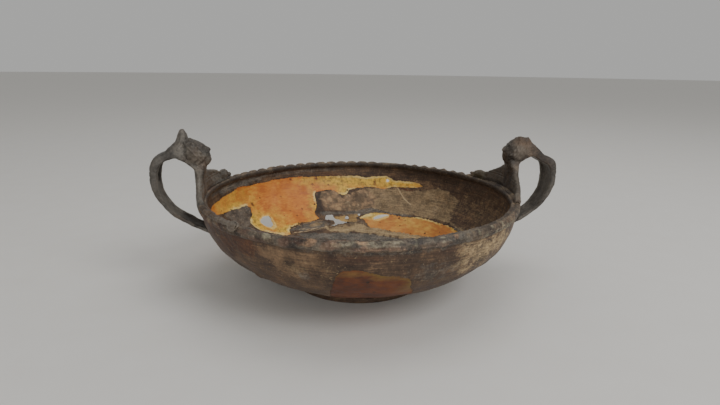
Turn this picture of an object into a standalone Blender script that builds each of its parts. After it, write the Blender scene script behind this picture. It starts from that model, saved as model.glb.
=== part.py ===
"""Two-handled bronze basin: beaded rim, low foot ring, cast loop handles, and resin fills in its torn wall.

The origin is the centre of the foot's underside. The handles lie along X, and the front faces -Y.
All sizes are in metres and all angles in degrees, unless a name says otherwise.
"""
import math

import bmesh
import bpy
from mathutils import Vector

# Bowl
RIM_RADIUS = 0.150
BOWL_HEIGHT = 0.0875
WALL = 0.002
LIP_WIDTH = 0.0088
LIP_HEIGHT = 0.0065
LIP_STANDS_OUT = 0.0026
BEADS = 70
BEAD_DEPTH = 0.0013
FOOT_RADIUS = 0.067
FOOT_HEIGHT = 0.0055
FOOT_WIDTH = 0.006
FOOT_GROOVE = 0.0008
FOOT_EDGE = 0.0007
FLOOR_CLEARANCE = 0.003
WALL_MEETS_FOOT = 0.002
# The wall is one cubic curve: its upper and lower handles, as shares of the wall's run and its drop
UPPER_PULL = (-0.039, -0.577)
LOWER_PULL = (0.513, 0.287)
# Worn beads: the middle and half length of the smooth stretch, and of the rubbed front with its depth of wear
SMOOTH_STRETCH = (64, 7)
RUBBED_FRONT = (-95, 40)
RUBBED_SHARE = 0.55

# Handles
LOOP_REACH = 0.0338
LOOP_RISE = 0.040
LOOP_DROP = 0.0315
STRAP_WIDTH = 0.022
STRAP_THICKNESS = 0.0044
STRAP_CHANNEL = 0.0012
STEM_THICKNESS = 0.0075
STEM_FOOT_WIDTH = 0.056
ARM_WIDTH = 0.0068
ARMS_OVERHANG = 0.0005
HEAD_HEIGHT = 0.0285
HEAD_DEPTH = 0.0205
HEAD_WIDTH = 0.0217
HEAD_LEAN = 42
CREST_HEIGHT = 0.0205
CREST_WIDTH = 0.0148
HANDLE_SWING = 3.2
RIGHT_STANDS_OUT = 0.0050
RIGHT_LOOP_HANGS = 0.0055
RIGHT_CREST_KEPT = 0.62
# How far the arms, head and crest follow a bent loop out, and the head and crest follow it down
ARMS_FOLLOW = 0.65
HEAD_FOLLOWS = 0.9
CREST_FOLLOWS = 0.5
TOP_FOLLOWS_DOWN = 0.4

# Clearance between pieces that touch
GAP = 0.0003

# Mesh
STEPS_ROUND = BEADS
WALL_STEPS = 6
CUT_LENGTH = 0.0095

# Losses in the wall, and the corrosion holes left open. Each point is an azimuth, and a share of the
# wall's height from the foot to the lip.
BACK_FILL = [
    (171, 0.86), (161, 0.86), (145, 0.91), (140, 0.885), (116, 0.883), (91, 0.852), (79, 0.857),
    (75.5, 0.82), (68, 0.87), (64.5, 0.81), (58, 0.81), (48, 0.77), (53.5, 0.72), (68, 0.663),
    (85.5, 0.64), (90, 0.54), (94, 0.62), (104.5, 0.624), (105.5, 0.433), (109, 0.281), (129.5, 0.251),
    (132, 0.19), (139, 0.21), (150, 0.31), (152, 0.40), (146, 0.53), (147, 0.636), (157, 0.67),
    (170, 0.68), (175, 0.77),
]
LOWER_FILL = [
    (89.5, 0.21), (83.5, 0.228), (85.5, 0.272), (78, 0.327), (61.5, 0.32), (43, 0.36), (21, 0.356),
    (8.5, 0.348), (16.5, 0.256), (24.5, 0.197), (38, 0.17), (53.5, 0.163), (72.5, 0.178), (76, 0.224),
]
FRONT_FILL = [
    (-104, 0.783), (-99, 0.797), (-95.5, 0.76), (-90, 0.717), (-86.5, 0.70), (-83, 0.652), (-81, 0.535),
    (-78, 0.376), (-76, 0.06), (-112, 0.06), (-107, 0.48),
]
TEAR_HOLE = [(144.8, 0.40), (143, 0.438), (139, 0.445), (137, 0.38), (142.6, 0.315), (144.4, 0.35)]
TORN_HOLE = [
    (102.6, 0.32), (97.5, 0.312), (98, 0.262), (89.8, 0.25), (90.2, 0.204), (99.5, 0.212), (103.8, 0.267),
]
SLIT_HOLE = [(71, 0.262), (66, 0.285), (61.8, 0.312), (62.6, 0.325), (67, 0.305), (70.8, 0.28)]
BRONZE_PIN_HOLES = [(89, 0.290, 0.0012), (81, 0.318, 0.001)]
RESIN_PIN_HOLES = [(129.6, 0.275, 0.0011), (66.7, 0.79, 0.0011)]


def wall_curve(share):
    """Radius and height on the wall's outer face, for a share of the way from the lip down to the foot."""
    top = Vector((RIM_RADIUS - LIP_STANDS_OUT, BOWL_HEIGHT - LIP_HEIGHT))
    low = Vector((FOOT_RADIUS + WALL_MEETS_FOOT, FOOT_HEIGHT + FOOT_GROOVE))
    run = top.x - low.x
    drop = top.y - low.y
    upper_pull = top + Vector((UPPER_PULL[0] * run, UPPER_PULL[1] * drop))
    lower_pull = low + Vector((LOWER_PULL[0] * run, LOWER_PULL[1] * drop))
    rest = 1 - share
    return (rest ** 3 * top + 3 * rest ** 2 * share * upper_pull
            + 3 * rest * share ** 2 * lower_pull + share ** 3 * low)


def wall_points(outward, steps):
    """Points down the wall, moved out from its outer face along the wall's own normal."""
    points = []
    for i in range(steps + 1):
        share = i / steps
        nudge = 1e-3
        ahead = wall_curve(min(share + nudge, 1))
        behind = wall_curve(max(share - nudge, 0))
        along = (ahead - behind).normalized()
        points.append(wall_curve(share) + outward * Vector((-along.y, along.x)))
    return points


def wall_radius(height, outward=0.0):
    """Radius of the wall's outer face, moved out, at a height above the table."""
    points = wall_points(outward, 120)
    for upper, lower in zip(points, points[1:]):
        if upper.y >= height >= lower.y:
            share = (upper.y - height) / (upper.y - lower.y)
            return upper.x + share * (lower.x - upper.x)
    return points[0].x if height > points[0].y else points[-1].x


def share_height(share):
    """Height above the table at a share of the wall, from the foot up to the lip."""
    low = wall_curve(1).y
    return low + share * (wall_curve(0).y - low)


def lip_points(outward=0.0):
    """The lip's section, from under its inner edge, over the top and down to the wall outside."""
    inner = RIM_RADIUS - LIP_WIDTH - outward
    outer = RIM_RADIUS + outward
    top = BOWL_HEIGHT + outward
    low = BOWL_HEIGHT - LIP_HEIGHT
    return [
        Vector((inner + 0.03 * LIP_WIDTH, low + 0.05 * LIP_HEIGHT)),
        Vector((inner, top - 0.22 * LIP_HEIGHT)),
        Vector((inner + 0.33 * LIP_WIDTH, top)),
        Vector((outer - 0.28 * LIP_WIDTH, top - 0.13 * LIP_HEIGHT)),
        Vector((outer, top - 0.62 * LIP_HEIGHT)),
        Vector((outer - 0.09 * LIP_WIDTH, low + 0.04 * LIP_HEIGHT)),
    ]


def floor_points(start, middle_height, steps):
    """Points from the edge of the floor to its middle, on a shallow dish."""
    points = []
    for i in range(1, steps + 1):
        radius = start.x * (1 - i / steps)
        rise = (start.y - middle_height) * (radius / start.x) ** 2
        points.append(Vector((radius, middle_height + rise)))
    return points


def foot_points():
    """The foot ring, from the groove under the wall to the inner corner beneath the floor."""
    under_floor = FLOOR_CLEARANCE + 0.8 * (FOOT_HEIGHT - FLOOR_CLEARANCE)
    inner = FOOT_RADIUS - FOOT_WIDTH
    return [
        Vector((FOOT_RADIUS - FOOT_GROOVE, FOOT_HEIGHT)),
        Vector((FOOT_RADIUS + 0.3 * FOOT_EDGE, FOOT_HEIGHT - FOOT_EDGE)),
        Vector((FOOT_RADIUS, FOOT_EDGE)),
        Vector((FOOT_RADIUS - FOOT_EDGE, 0)),
        Vector((inner + FOOT_EDGE, 0)),
        Vector((inner, under_floor)),
    ]


def new_object(name, mesh, collection):
    """An object of a mesh, linked to a collection."""
    made = bpy.data.objects.new(name, mesh)
    collection.objects.link(made)
    return made


def as_cutter(made):
    """Marks an object as a helper that isn't part of the basin."""
    made.hide_render = True
    made.display_type = 'WIRE'
    return made


def turned(name, profile, collection):
    """A profile in the XZ plane turned about Z, as a mesh object."""
    mesh = bpy.data.meshes.new(name)
    edges = [(i, i + 1) for i in range(len(profile) - 1)]
    mesh.from_pydata([(p.x, 0, p.y) for p in profile], edges, [])
    made = new_object(name, mesh, collection)
    screw = made.modifiers.new("turn", 'SCREW')
    screw.steps = STEPS_ROUND
    screw.render_steps = STEPS_ROUND
    screw.use_merge_vertices = True
    screw.merge_threshold = 1e-5
    bpy.context.view_layer.update()
    depsgraph = bpy.context.evaluated_depsgraph_get()
    made.data = bpy.data.meshes.new_from_object(made.evaluated_get(depsgraph))
    made.data.name = name
    made.modifiers.clear()
    bpy.data.meshes.remove(mesh)
    return made


def boolean(made, tool, operation):
    """Adds an exact Boolean with another object."""
    cut = made.modifiers.new(tool.name, 'BOOLEAN')
    cut.operation = operation
    cut.solver = 'EXACT'
    cut.object = tool


def bead_wear(azimuth):
    """How much of a bead's depth is left: the back has a smooth stretch, and the front is rubbed."""
    back_gap = math.exp(-((azimuth - SMOOTH_STRETCH[0]) / SMOOTH_STRETCH[1]) ** 4)
    front_rub = RUBBED_SHARE * math.exp(-((azimuth - RUBBED_FRONT[0]) / RUBBED_FRONT[1]) ** 4)
    return 1 - max(back_gap, front_rub)


def carve_beads(mesh):
    """Draws the lip in towards its core between the beads."""
    core = Vector((RIM_RADIUS - 0.5 * LIP_WIDTH, BOWL_HEIGHT - 0.6 * LIP_HEIGHT))
    lowest = BOWL_HEIGHT - 0.9 * LIP_HEIGHT
    for vertex in mesh.vertices:
        radius = math.hypot(vertex.co.x, vertex.co.y)
        if radius < core.x - 0.1 * LIP_WIDTH or vertex.co.z < lowest:
            continue
        angle = math.atan2(vertex.co.y, vertex.co.x)
        between = 0.5 - 0.5 * math.cos(BEADS * angle)
        depth = BEAD_DEPTH * between * bead_wear(math.degrees(angle))
        inward = (core - Vector((radius, vertex.co.z))).normalized() * depth
        vertex.co.x += inward.x * math.cos(angle)
        vertex.co.y += inward.x * math.sin(angle)
        vertex.co.z += inward.y


def inset(outline, amount):
    """An outline on the wall drawn in by an amount."""
    wall_drop = wall_curve(0).y - wall_curve(1).y
    following = outline[1:] + outline[:1]
    area = sum(a[0] * b[1] - b[0] * a[1] for a, b in zip(outline, following))
    side = 1 if area > 0 else -1
    moved = []
    for i, (azimuth, share) in enumerate(outline):
        degree = math.radians(wall_radius(share_height(share)))
        one, two = outline[i - 1], following[i]
        before = Vector(((azimuth - one[0]) * degree, (share - one[1]) * wall_drop)).normalized()
        after = Vector(((two[0] - azimuth) * degree, (two[1] - share) * wall_drop)).normalized()
        inward = Vector((-before.y - after.y, before.x + after.x)).normalized() * side
        spread = max(0.4, abs(inward.dot(Vector((-before.y, before.x)))))
        shift = inward * (amount / spread)
        moved.append((azimuth + shift.x / degree, share + shift.y / wall_drop))
    return moved


def pin_outline(azimuth, share, radius):
    """A small six-sided hole."""
    wall_drop = wall_curve(0).y - wall_curve(1).y
    arc = math.degrees(radius / wall_radius(share_height(share)))
    turns = [math.radians(60 * i) for i in range(6)]
    return [(azimuth + arc * math.cos(t), share + radius / wall_drop * math.sin(t)) for t in turns]


def closed_mesh(name, vertices, faces, collection):
    """A closed mesh object whose faces are turned to point out."""
    mesh = bpy.data.meshes.new(name)
    mesh.from_pydata(vertices, [], faces)
    work = bmesh.new()
    work.from_mesh(mesh)
    bmesh.ops.recalc_face_normals(work, faces=work.faces)
    work.to_mesh(mesh)
    work.free()
    return new_object(name, mesh, collection)


def bar(name, section, collection):
    """A ring's section drawn out straight: X runs once round the rim, -180 to 180 degrees; Y is the radius.

    A cut is flat and square on the bar, and it bends with the wall when the bar is rolled up.
    """
    rings = []
    for i in range(STEPS_ROUND + 1):
        along = RIM_RADIUS * math.pi * (2 * i / STEPS_ROUND - 1)
        rings.append([(along, p.x, p.y) for p in section])
    return loft(name, rings, collection)


def bar_prism(outline, collection):
    """A cutter with this outline, which runs level and square through the bar's wall."""
    near = 0.2 * FOOT_RADIUS
    far = 1.2 * RIM_RADIUS
    corners = [Vector((RIM_RADIUS * math.radians(turn), share_height(share))) for turn, share in outline]
    edge = []
    for corner, after in zip(corners, corners[1:] + corners[:1]):
        cuts = math.ceil((after - corner).length / CUT_LENGTH)
        edge += [corner.lerp(after, i / cuts) for i in range(cuts)]
    vertices = [(p.x, radius, p.y) for radius in (near, far) for p in edge]
    count = len(edge)
    faces = [tuple(range(count)), tuple(range(count, 2 * count))]
    faces += [(i, (i + 1) % count, count + (i + 1) % count, count + i) for i in range(count)]
    return as_cutter(closed_mesh("prism", vertices, faces, collection))


def halve_lip_edges(work):
    """Splits the lip's lengthwise edges on the bar, so that each bead has a crown and a valley."""
    lowest = BOWL_HEIGHT - LIP_HEIGHT
    lip_edges = []
    for edge in work.edges:
        one, two = (v.co for v in edge.verts)
        level = abs(one.z - two.z) + abs(one.y - two.y) < 1e-6
        if level and min(one.z, two.z) > lowest and abs(one.x - two.x) > CUT_LENGTH:
            lip_edges.append(edge)
    bmesh.ops.subdivide_edges(work, edges=lip_edges, cuts=1)


def cut_and_roll(made, cuts, collection):
    """Cuts a bar with each (outline, operation), and rolls it up round Z into a ring without a seam."""
    prisms = [(bar_prism(outline, collection), operation) for outline, operation in cuts]
    for prism, operation in prisms:
        boolean(made, prism, operation)
    bpy.context.view_layer.update()
    depsgraph = bpy.context.evaluated_depsgraph_get()
    straight = made.data
    made.data = bpy.data.meshes.new_from_object(made.evaluated_get(depsgraph))
    made.data.name = made.name
    made.modifiers.clear()
    bpy.data.meshes.remove(straight)
    for prism, _ in prisms:
        bpy.data.objects.remove(prism)
    work = bmesh.new()
    work.from_mesh(made.data)
    end = RIM_RADIUS * math.pi * (1 - 1e-6)
    caps = [f for f in work.faces if all(abs(v.co.x) > end for v in f.verts)]
    bmesh.ops.delete(work, geom=caps, context='FACES')
    halve_lip_edges(work)
    many_sided = [f for f in work.faces if len(f.verts) > 4]
    bmesh.ops.triangulate(work, faces=many_sided)
    for vertex in work.verts:
        angle = vertex.co.x / RIM_RADIUS
        radius = vertex.co.y
        vertex.co.x = radius * math.cos(angle)
        vertex.co.y = radius * math.sin(angle)
    bmesh.ops.remove_doubles(work, verts=work.verts, dist=2e-6)
    stray = [e for e in work.edges if not e.link_faces]
    bmesh.ops.delete(work, geom=stray, context='EDGES')
    bmesh.ops.recalc_face_normals(work, faces=work.faces)
    work.to_mesh(made.data)
    work.free()


def make_bowl(parts, cutters):
    """The bowl in one piece with its lip and foot, with the losses and holes cut through its wall."""
    inner_wall = wall_points(-WALL, WALL_STEPS)[::-1]
    inner_floor = floor_points(inner_wall[0], FLOOR_CLEARANCE + WALL, 2)[::-1]
    foot = foot_points()
    section = (inner_floor + inner_wall + lip_points() + wall_points(0, WALL_STEPS)
               + foot + floor_points(foot[-1], FLOOR_CLEARANCE, 2))
    bowl = bar("bowl", section, parts)
    outlines = [BACK_FILL, LOWER_FILL, FRONT_FILL, TORN_HOLE]
    outlines += [pin_outline(*pin) for pin in BRONZE_PIN_HOLES]
    cut_and_roll(bowl, [(outline, 'DIFFERENCE') for outline in outlines], cutters)
    carve_beads(bowl.data)
    return bowl


def make_fill(name, outline, holes, parts, cutters):
    """A resin fill: the stretch of wall inside an outline, clear of the torn bronze all round."""
    section = wall_points(-WALL, WALL_STEPS)[::-1] + wall_points(0, WALL_STEPS)
    fill = bar(name, section, parts)
    cuts = [(inset(outline, GAP), 'INTERSECT')] + [(hole, 'DIFFERENCE') for hole in holes]
    cut_and_roll(fill, cuts, cutters)
    return fill


def loft(name, rings, collection):
    """A closed solid through rings of equally many points."""
    count = len(rings[0])
    vertices = [point for ring in rings for point in ring]
    faces = [tuple(range(count)), tuple(range(len(vertices) - count, len(vertices)))]
    for r in range(len(rings) - 1):
        for i in range(count):
            j = (i + 1) % count
            faces.append((r * count + i, r * count + j, (r + 1) * count + j, (r + 1) * count + i))
    return closed_mesh(name, vertices, faces, collection)


def band_section(thick, wide, channel):
    """A strap's section as offsets across and outward: rounded outside, with a channel inside."""
    half = wide / 2
    deep = thick / 2
    edge = 0.17 * wide
    step = edge + 0.05 * wide
    return [
        (-half, 0.5 * deep), (-0.6 * half, deep), (0.6 * half, deep), (half, 0.5 * deep), (half, -deep),
        (half - edge, -deep), (half - step, channel - deep), (step - half, channel - deep),
        (edge - half, -deep), (-half, -deep),
    ]


def loop_stations():
    """The loop's centre line, from the wall up, over and down the stem, with its section.

    Each station has its place out from the rim's edge and up from its top, its thickness, width and
    channel depth, how far it hangs down in a bent loop, and whether it curves round with the rim.
    """
    wall_out = wall_radius(BOWL_HEIGHT - LOOP_DROP) - RIM_RADIUS
    swing = LOOP_REACH - wall_out
    strap = [
        (-0.25, -1.18, 1.02, 1.0), (-0.08, -1.06, 1.02, 1.0), (0.085, -0.94, 1.02, 1.0),
        (0.25, -0.822, 0.95, 0.96), (0.413, -0.686, 0.89, 0.95), (0.554, -0.559, 0.82, 0.95),
        (0.707, -0.387, 0.82, 0.98), (0.838, -0.146, 0.91, 1.02), (0.941, 0.111, 1.14, 1.07),
    ]
    stations = [
        (wall_out + x * swing, z * LOOP_DROP, t * STRAP_THICKNESS, w * STRAP_WIDTH, STRAP_CHANNEL, 1.0, 0)
        for x, z, t, w in strap
    ]
    knuckle = [
        (0.982, 0.263, 1.36, 1.14, 1.3, 1.0), (1.0, 0.40, 1.48, 1.16, 1.6, 1.0),
        (0.992, 0.56, 1.55, 1.16, 1.6, 1.0), (0.965, 0.71, 1.75, 1.14, 1.3, 0.95),
        (0.90, 0.83, 1.9, 1.09, 0.8, 0.85), (0.785, 0.92, 1.95, 0.95, 0.3, 0.7),
        (0.642, 0.98, 2.0, 0.84, 0.0, 0.5), (0.463, 1.04, 2.5, 0.77, 0.0, 0.4),
        (0.30, 1.025, 2.95, 0.75, 0.0, 0.35), (0.095, 0.94, 2.95, 0.77, 0.0, 0.3),
    ]
    stations += [
        (x * LOOP_REACH, z * LOOP_RISE, t * STRAP_THICKNESS, w * STRAP_WIDTH, c * STRAP_CHANNEL, hang, 0)
        for x, z, t, w, c, hang in knuckle
    ]
    stem = [
        (-0.104, 0.79, 1.7, 0.30), (-0.15, 0.65, 1.45, 0.34), (-0.125, 0.50, 1.17, 0.42),
        (-0.113, 0.35, 1.0, 0.55), (-0.11, 0.20, 0.96, 0.72), (-0.107, 0.05, 0.96, 0.9),
        (-0.107, -0.04, 0.96, 1.0),
    ]
    stations += [
        (x * LOOP_REACH, z * LOOP_RISE, t * STEM_THICKNESS, w * STEM_FOOT_WIDTH, 0.0, 0.0, 1)
        for x, z, t, w in stem
    ]
    return stations


def make_loop(name, stands_out, hangs, collection):
    """The ribbon strap and the stem, as one loft along the loop's centre line at azimuth 0."""
    stations = loop_stations()
    rings = []
    for i, (out, up, thick, wide, channel, hang, curved) in enumerate(stations):
        before = stations[max(i - 1, 0)]
        after = stations[min(i + 1, len(stations) - 1)]
        along = Vector((after[0] - before[0], after[1] - before[1])).normalized()
        outward = Vector((along.y, -along.x))
        ring = []
        for across, off in band_section(thick, wide, channel):
            radius = RIM_RADIUS + stands_out + out + off * outward.x
            turn = across / radius
            lift = BOWL_HEIGHT + up - hangs * hang + off * outward.y
            if curved:
                ring.append((radius * math.cos(turn), radius * math.sin(turn), lift))
            else:
                ring.append((radius, across, lift))
        rings.append(ring)
    return loft(name, rings, collection)


def make_arms(name, heights, stands_out, collection):
    """The crescent that follows the rim. Heights are (azimuth, height above the rim) from end to end."""
    outer = RIM_RADIUS + stands_out
    inner = outer - ARM_WIDTH
    low = BOWL_HEIGHT - 0.65 * LIP_HEIGHT
    rings = []
    for azimuth, height in heights:
        angle = math.radians(azimuth)
        top = BOWL_HEIGHT + height
        shoulder = BOWL_HEIGHT + 0.55 * height
        corners = [
            (inner, low), (inner, shoulder), (inner + 0.25 * ARM_WIDTH, top), (outer - 0.3 * ARM_WIDTH, top),
            (outer, shoulder), (outer, low),
        ]
        rings.append([(r * math.cos(angle), r * math.sin(angle), z) for r, z in corners])
    return loft(name, rings, collection)


def make_knob(name, azimuth, length, height, collection):
    """A bird's head at the end of an arm: a smooth oval lying along the rim."""
    work = bmesh.new()
    bmesh.ops.create_uvsphere(work, u_segments=10, v_segments=6, radius=1)
    angle = math.radians(azimuth)
    middle = RIM_RADIUS - 0.45 * ARM_WIDTH
    for vertex in work.verts:
        out = middle + vertex.co.x * 0.62 * ARM_WIDTH
        along = vertex.co.y * length / 2
        up = BOWL_HEIGHT + 0.3 * height + vertex.co.z * 0.7 * height
        vertex.co = Vector((
            out * math.cos(angle) - along * math.sin(angle),
            out * math.sin(angle) + along * math.cos(angle),
            up,
        ))
    mesh = bpy.data.meshes.new(name)
    work.to_mesh(mesh)
    work.free()
    return new_object(name, mesh, collection)


def bump(value, centre, width):
    """A smooth rise of height 1 around a centre."""
    return math.exp(-((value - centre) / width) ** 2)


def head_relief(forward, up, side):
    """Relief on the head as a share of its height: a calm, general face under a roll of hair."""
    front = max(forward, 0)
    nose = 0.085 * front * bump(side, 0, 0.16) * bump(up, -0.02, 0.22)
    brow = 0.03 * front * bump(up, 0.30, 0.12) * bump(side, 0, 0.5)
    sockets = -0.035 * front * bump(abs(side), 0.34, 0.16) * bump(up, 0.12, 0.12)
    chin = 0.03 * front * bump(up, -0.72, 0.16) * bump(side, 0, 0.3)
    roll = 0.05 * bump(math.hypot(up - 0.05, side), 0.86, 0.16) * (1 if forward > 0 and up > -0.45 else 0)
    return nose + brow + sockets + chin + roll


def make_head(name, stands_out, hangs, collection):
    """The head on top of the stem, which leans in and looks up towards the middle of the bowl."""
    lean = math.radians(HEAD_LEAN)
    forward = Vector((-math.cos(lean), 0, math.sin(lean)))
    up = Vector((math.sin(lean), 0, math.cos(lean)))
    side = Vector((0, 1, 0))
    middle = Vector((RIM_RADIUS + stands_out - 0.07 * LOOP_REACH, 0, BOWL_HEIGHT + 0.975 * LOOP_RISE - hangs))
    work = bmesh.new()
    bmesh.ops.create_uvsphere(work, u_segments=16, v_segments=10, radius=1)
    for vertex in work.verts:
        s, f, u = vertex.co.x, -vertex.co.y, vertex.co.z
        relief = head_relief(f, u, s) * HEAD_HEIGHT
        narrow = 1 - 0.22 * max(-u, 0)
        place = middle + forward * f * HEAD_DEPTH / 2 + up * u * HEAD_HEIGHT / 2
        place += side * s * HEAD_WIDTH / 2 * narrow
        vertex.co = place + relief * (forward * f + up * u + side * s)
    mesh = bpy.data.meshes.new(name)
    work.to_mesh(mesh)
    work.free()
    return new_object(name, mesh, collection)


def make_crest(name, stands_out, hangs, kept, collection):
    """The pointed leaf behind the crown, up from the strap. A broken one keeps a share of its height."""
    rows = [
        (-0.05, 0.08, 0.70, 1.0), (0.18, 0.09, 0.627, 0.95), (0.33, 0.10, 0.51, 0.88),
        (0.49, 0.11, 0.424, 0.77), (0.70, 0.125, 0.367, 0.61), (0.85, 0.155, 0.335, 0.45),
        (0.95, 0.194, 0.307, 0.30), (1.0, 0.218, 0.287, 0.19),
    ]
    standing = [row for row in rows if row[0] <= kept]
    if kept < 1:
        _, inner, outer, wide = standing[-1]
        standing.append((kept, inner + 0.05, outer - 0.04, 0.7 * wide))
    rings = []
    for share, inner, outer, wide in standing:
        lift = BOWL_HEIGHT + LOOP_RISE + share * CREST_HEIGHT - hangs
        centre = RIM_RADIUS + stands_out + (inner + outer) / 2 * LOOP_REACH
        deep = (outer - inner) / 2 * LOOP_REACH
        half = wide * CREST_WIDTH / 2
        turns = [math.radians(36 * i) for i in range(10)]
        rings.append([(centre + deep * math.cos(t), half * math.sin(t), lift) for t in turns])
    return loft(name, rings, collection)


def seat_envelope(cutters):
    """The bowl's outside, let out by the gap: the handles are cut to it where they meet the bowl."""
    low = Vector((0, wall_curve(1).y))
    lid = Vector((0, BOWL_HEIGHT - 0.5 * LIP_HEIGHT))
    profile = [lid] + lip_points(GAP)[1:] + wall_points(GAP, 16) + [low]
    return as_cutter(turned("seat_envelope", profile, cutters))


def make_handle(name, azimuth, bend, arms, knobs, crest_kept, parts, cutters):
    """A cast handle: loop, crescent arms with birds' heads, head and crest, joined and seated on the rim.

    The bend is how far the loop has been pushed out and down.
    """
    stands_out, hangs = bend
    handle = make_loop(name, stands_out, hangs, parts)
    pieces = [make_arms(name + "_arms", arms, ARMS_OVERHANG + ARMS_FOLLOW * stands_out, cutters)]
    for i, (place, length, height) in enumerate(knobs):
        pieces.append(make_knob(f"{name}_knob_{i}", place, length, height, cutters))
    top_hangs = TOP_FOLLOWS_DOWN * hangs
    pieces.append(make_head(name + "_head", HEAD_FOLLOWS * stands_out, top_hangs, cutters))
    pieces.append(make_crest(name + "_crest", CREST_FOLLOWS * stands_out, top_hangs, crest_kept, cutters))
    for piece in pieces:
        as_cutter(piece)
        boolean(handle, piece, 'UNION')
    boolean(handle, bpy.data.objects["seat_envelope"], 'DIFFERENCE')
    for made in [handle] + pieces:
        made.rotation_euler.z = math.radians(azimuth)
    return handle


def material(name, colour, roughness, metallic):
    """A plain surface of one colour."""
    made = bpy.data.materials.new(name)
    made.use_nodes = True
    surface = made.node_tree.nodes["Principled BSDF"]
    surface.inputs["Base Color"].default_value = (*colour, 1)
    surface.inputs["Roughness"].default_value = roughness
    surface.inputs["Metallic"].default_value = metallic
    made.diffuse_color = (*colour, 1)
    return made


def give(made, finish):
    """Gives an object its finish, shaded smooth except at its sharp edges."""
    made.data.materials.clear()
    made.data.materials.append(finish)
    made.data.shade_smooth()
    made.data.set_sharp_from_angle(angle=math.radians(35))


for leftover in list(bpy.data.objects):
    bpy.data.objects.remove(leftover)
basin = bpy.data.collections.new("bronze_basin")
helpers = bpy.data.collections.new("cutters")
bpy.context.scene.collection.children.link(basin)
bpy.context.scene.collection.children.link(helpers)

bronze = material("aged bronze", (0.16, 0.12, 0.09), 0.55, 0.8)
ochre_resin = material("ochre resin", (0.55, 0.28, 0.06), 0.5, 0.0)
brown_resin = material("brown resin", (0.14, 0.06, 0.03), 0.5, 0.0)

seat_envelope(helpers)
give(make_bowl(basin, helpers), bronze)
back_holes = [TEAR_HOLE] + [pin_outline(*pin) for pin in RESIN_PIN_HOLES]
give(make_fill("back_fill", BACK_FILL, back_holes, basin, helpers), ochre_resin)
give(make_fill("lower_fill", LOWER_FILL, [SLIT_HOLE], basin, helpers), ochre_resin)
give(make_fill("front_fill", FRONT_FILL, [], basin, helpers), brown_resin)

# Each row is an azimuth from the handle's middle and the arm's height there; the left one's front is +.
LEFT_ARMS = [
    (-32, 0.003), (-30, 0.008), (-27, 0.0105), (-24, 0.0105), (-20, 0.0125), (-14, 0.016), (-9, 0.0205),
    (-5, 0.0235), (5, 0.017), (9, 0.008), (14, 0.004), (34, 0.0035), (40, 0.004), (43, 0.002),
]
RIGHT_ARMS = [
    (-22, 0.0022), (-19, 0.0045), (-13, 0.0065), (-8, 0.0125), (-5, 0.018), (5, 0.022), (11, 0.0145),
    (16, 0.0105), (24, 0.004),
]
left = make_handle(
    "left_handle", 180 + HANDLE_SWING, (0.0, 0.0), LEFT_ARMS, [(-27.5, 0.012, 0.0115), (39.5, 0.012, 0.0055)],
    1.0, basin, helpers,
)
give(left, bronze)
right = make_handle(
    "right_handle", -HANDLE_SWING, (RIGHT_STANDS_OUT, RIGHT_LOOP_HANGS), RIGHT_ARMS,
    [(19, 0.015, 0.0092)], RIGHT_CREST_KEPT, basin, helpers,
)
give(right, bronze)
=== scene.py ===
"""Two-handled bronze basin on a pale floor: patina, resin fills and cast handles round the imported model.

Lengths are millimetres until a mesh is made. An azimuth runs in degrees round the bowl's axis, from the
right handle at 0 towards the back at 90. Climb is radius plus height, which grows from the middle of the
floor to the rim, so that it tells places on the wall apart.
"""
import math
from contextlib import contextmanager

import bmesh
import bpy
import numpy as np
from mathutils import Matrix, Vector, noise


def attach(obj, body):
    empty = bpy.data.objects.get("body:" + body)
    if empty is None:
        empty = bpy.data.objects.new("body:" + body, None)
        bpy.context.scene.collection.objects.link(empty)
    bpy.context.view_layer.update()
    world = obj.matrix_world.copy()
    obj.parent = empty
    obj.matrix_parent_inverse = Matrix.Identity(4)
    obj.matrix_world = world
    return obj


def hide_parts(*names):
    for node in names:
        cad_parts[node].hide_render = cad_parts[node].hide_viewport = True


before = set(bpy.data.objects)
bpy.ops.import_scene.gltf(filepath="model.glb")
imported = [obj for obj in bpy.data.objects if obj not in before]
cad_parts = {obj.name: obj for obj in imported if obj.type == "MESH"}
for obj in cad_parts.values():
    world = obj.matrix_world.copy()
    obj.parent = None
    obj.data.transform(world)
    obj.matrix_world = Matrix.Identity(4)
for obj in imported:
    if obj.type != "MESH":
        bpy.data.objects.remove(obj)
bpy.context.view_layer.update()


# The bowl: one thin wall of leaded bronze, cast, then hammered and turned true on a lathe, with a low foot
# ring in the same metal. It is torn where corrosion ate through. Burial gave it a dull brown skin with
# slate, tan and rust coloured patches, and the lathe's rings still show inside.
MM = 0.001
RIM_RADIUS = 150.0
RIM_TOP = 87.5
LIP_UNDERSIDE = 81.0
WALL_THICK = 2.0
FLOOR_TOP = 5.0
FLOOR_UNDERSIDE = 3.0
WALL_TOP = np.array((147.4, LIP_UNDERSIDE))
WALL_FOOT = np.array((69.0, 6.3))
UPPER_PULL = np.array((144.3, 37.9))
LOWER_PULL = np.array((109.2, 27.7))
ROUND_STEPS = 540
WALL_STEPS = 46
INNER_STEPS = 88
TORN_CLEARANCE = 0.12
PUNCH_REACH = (20, 190)
FLOOR_SIDES_PART = 4.2
STAIN_RADIUS = 110
FAR_OFF = 1e3

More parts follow.
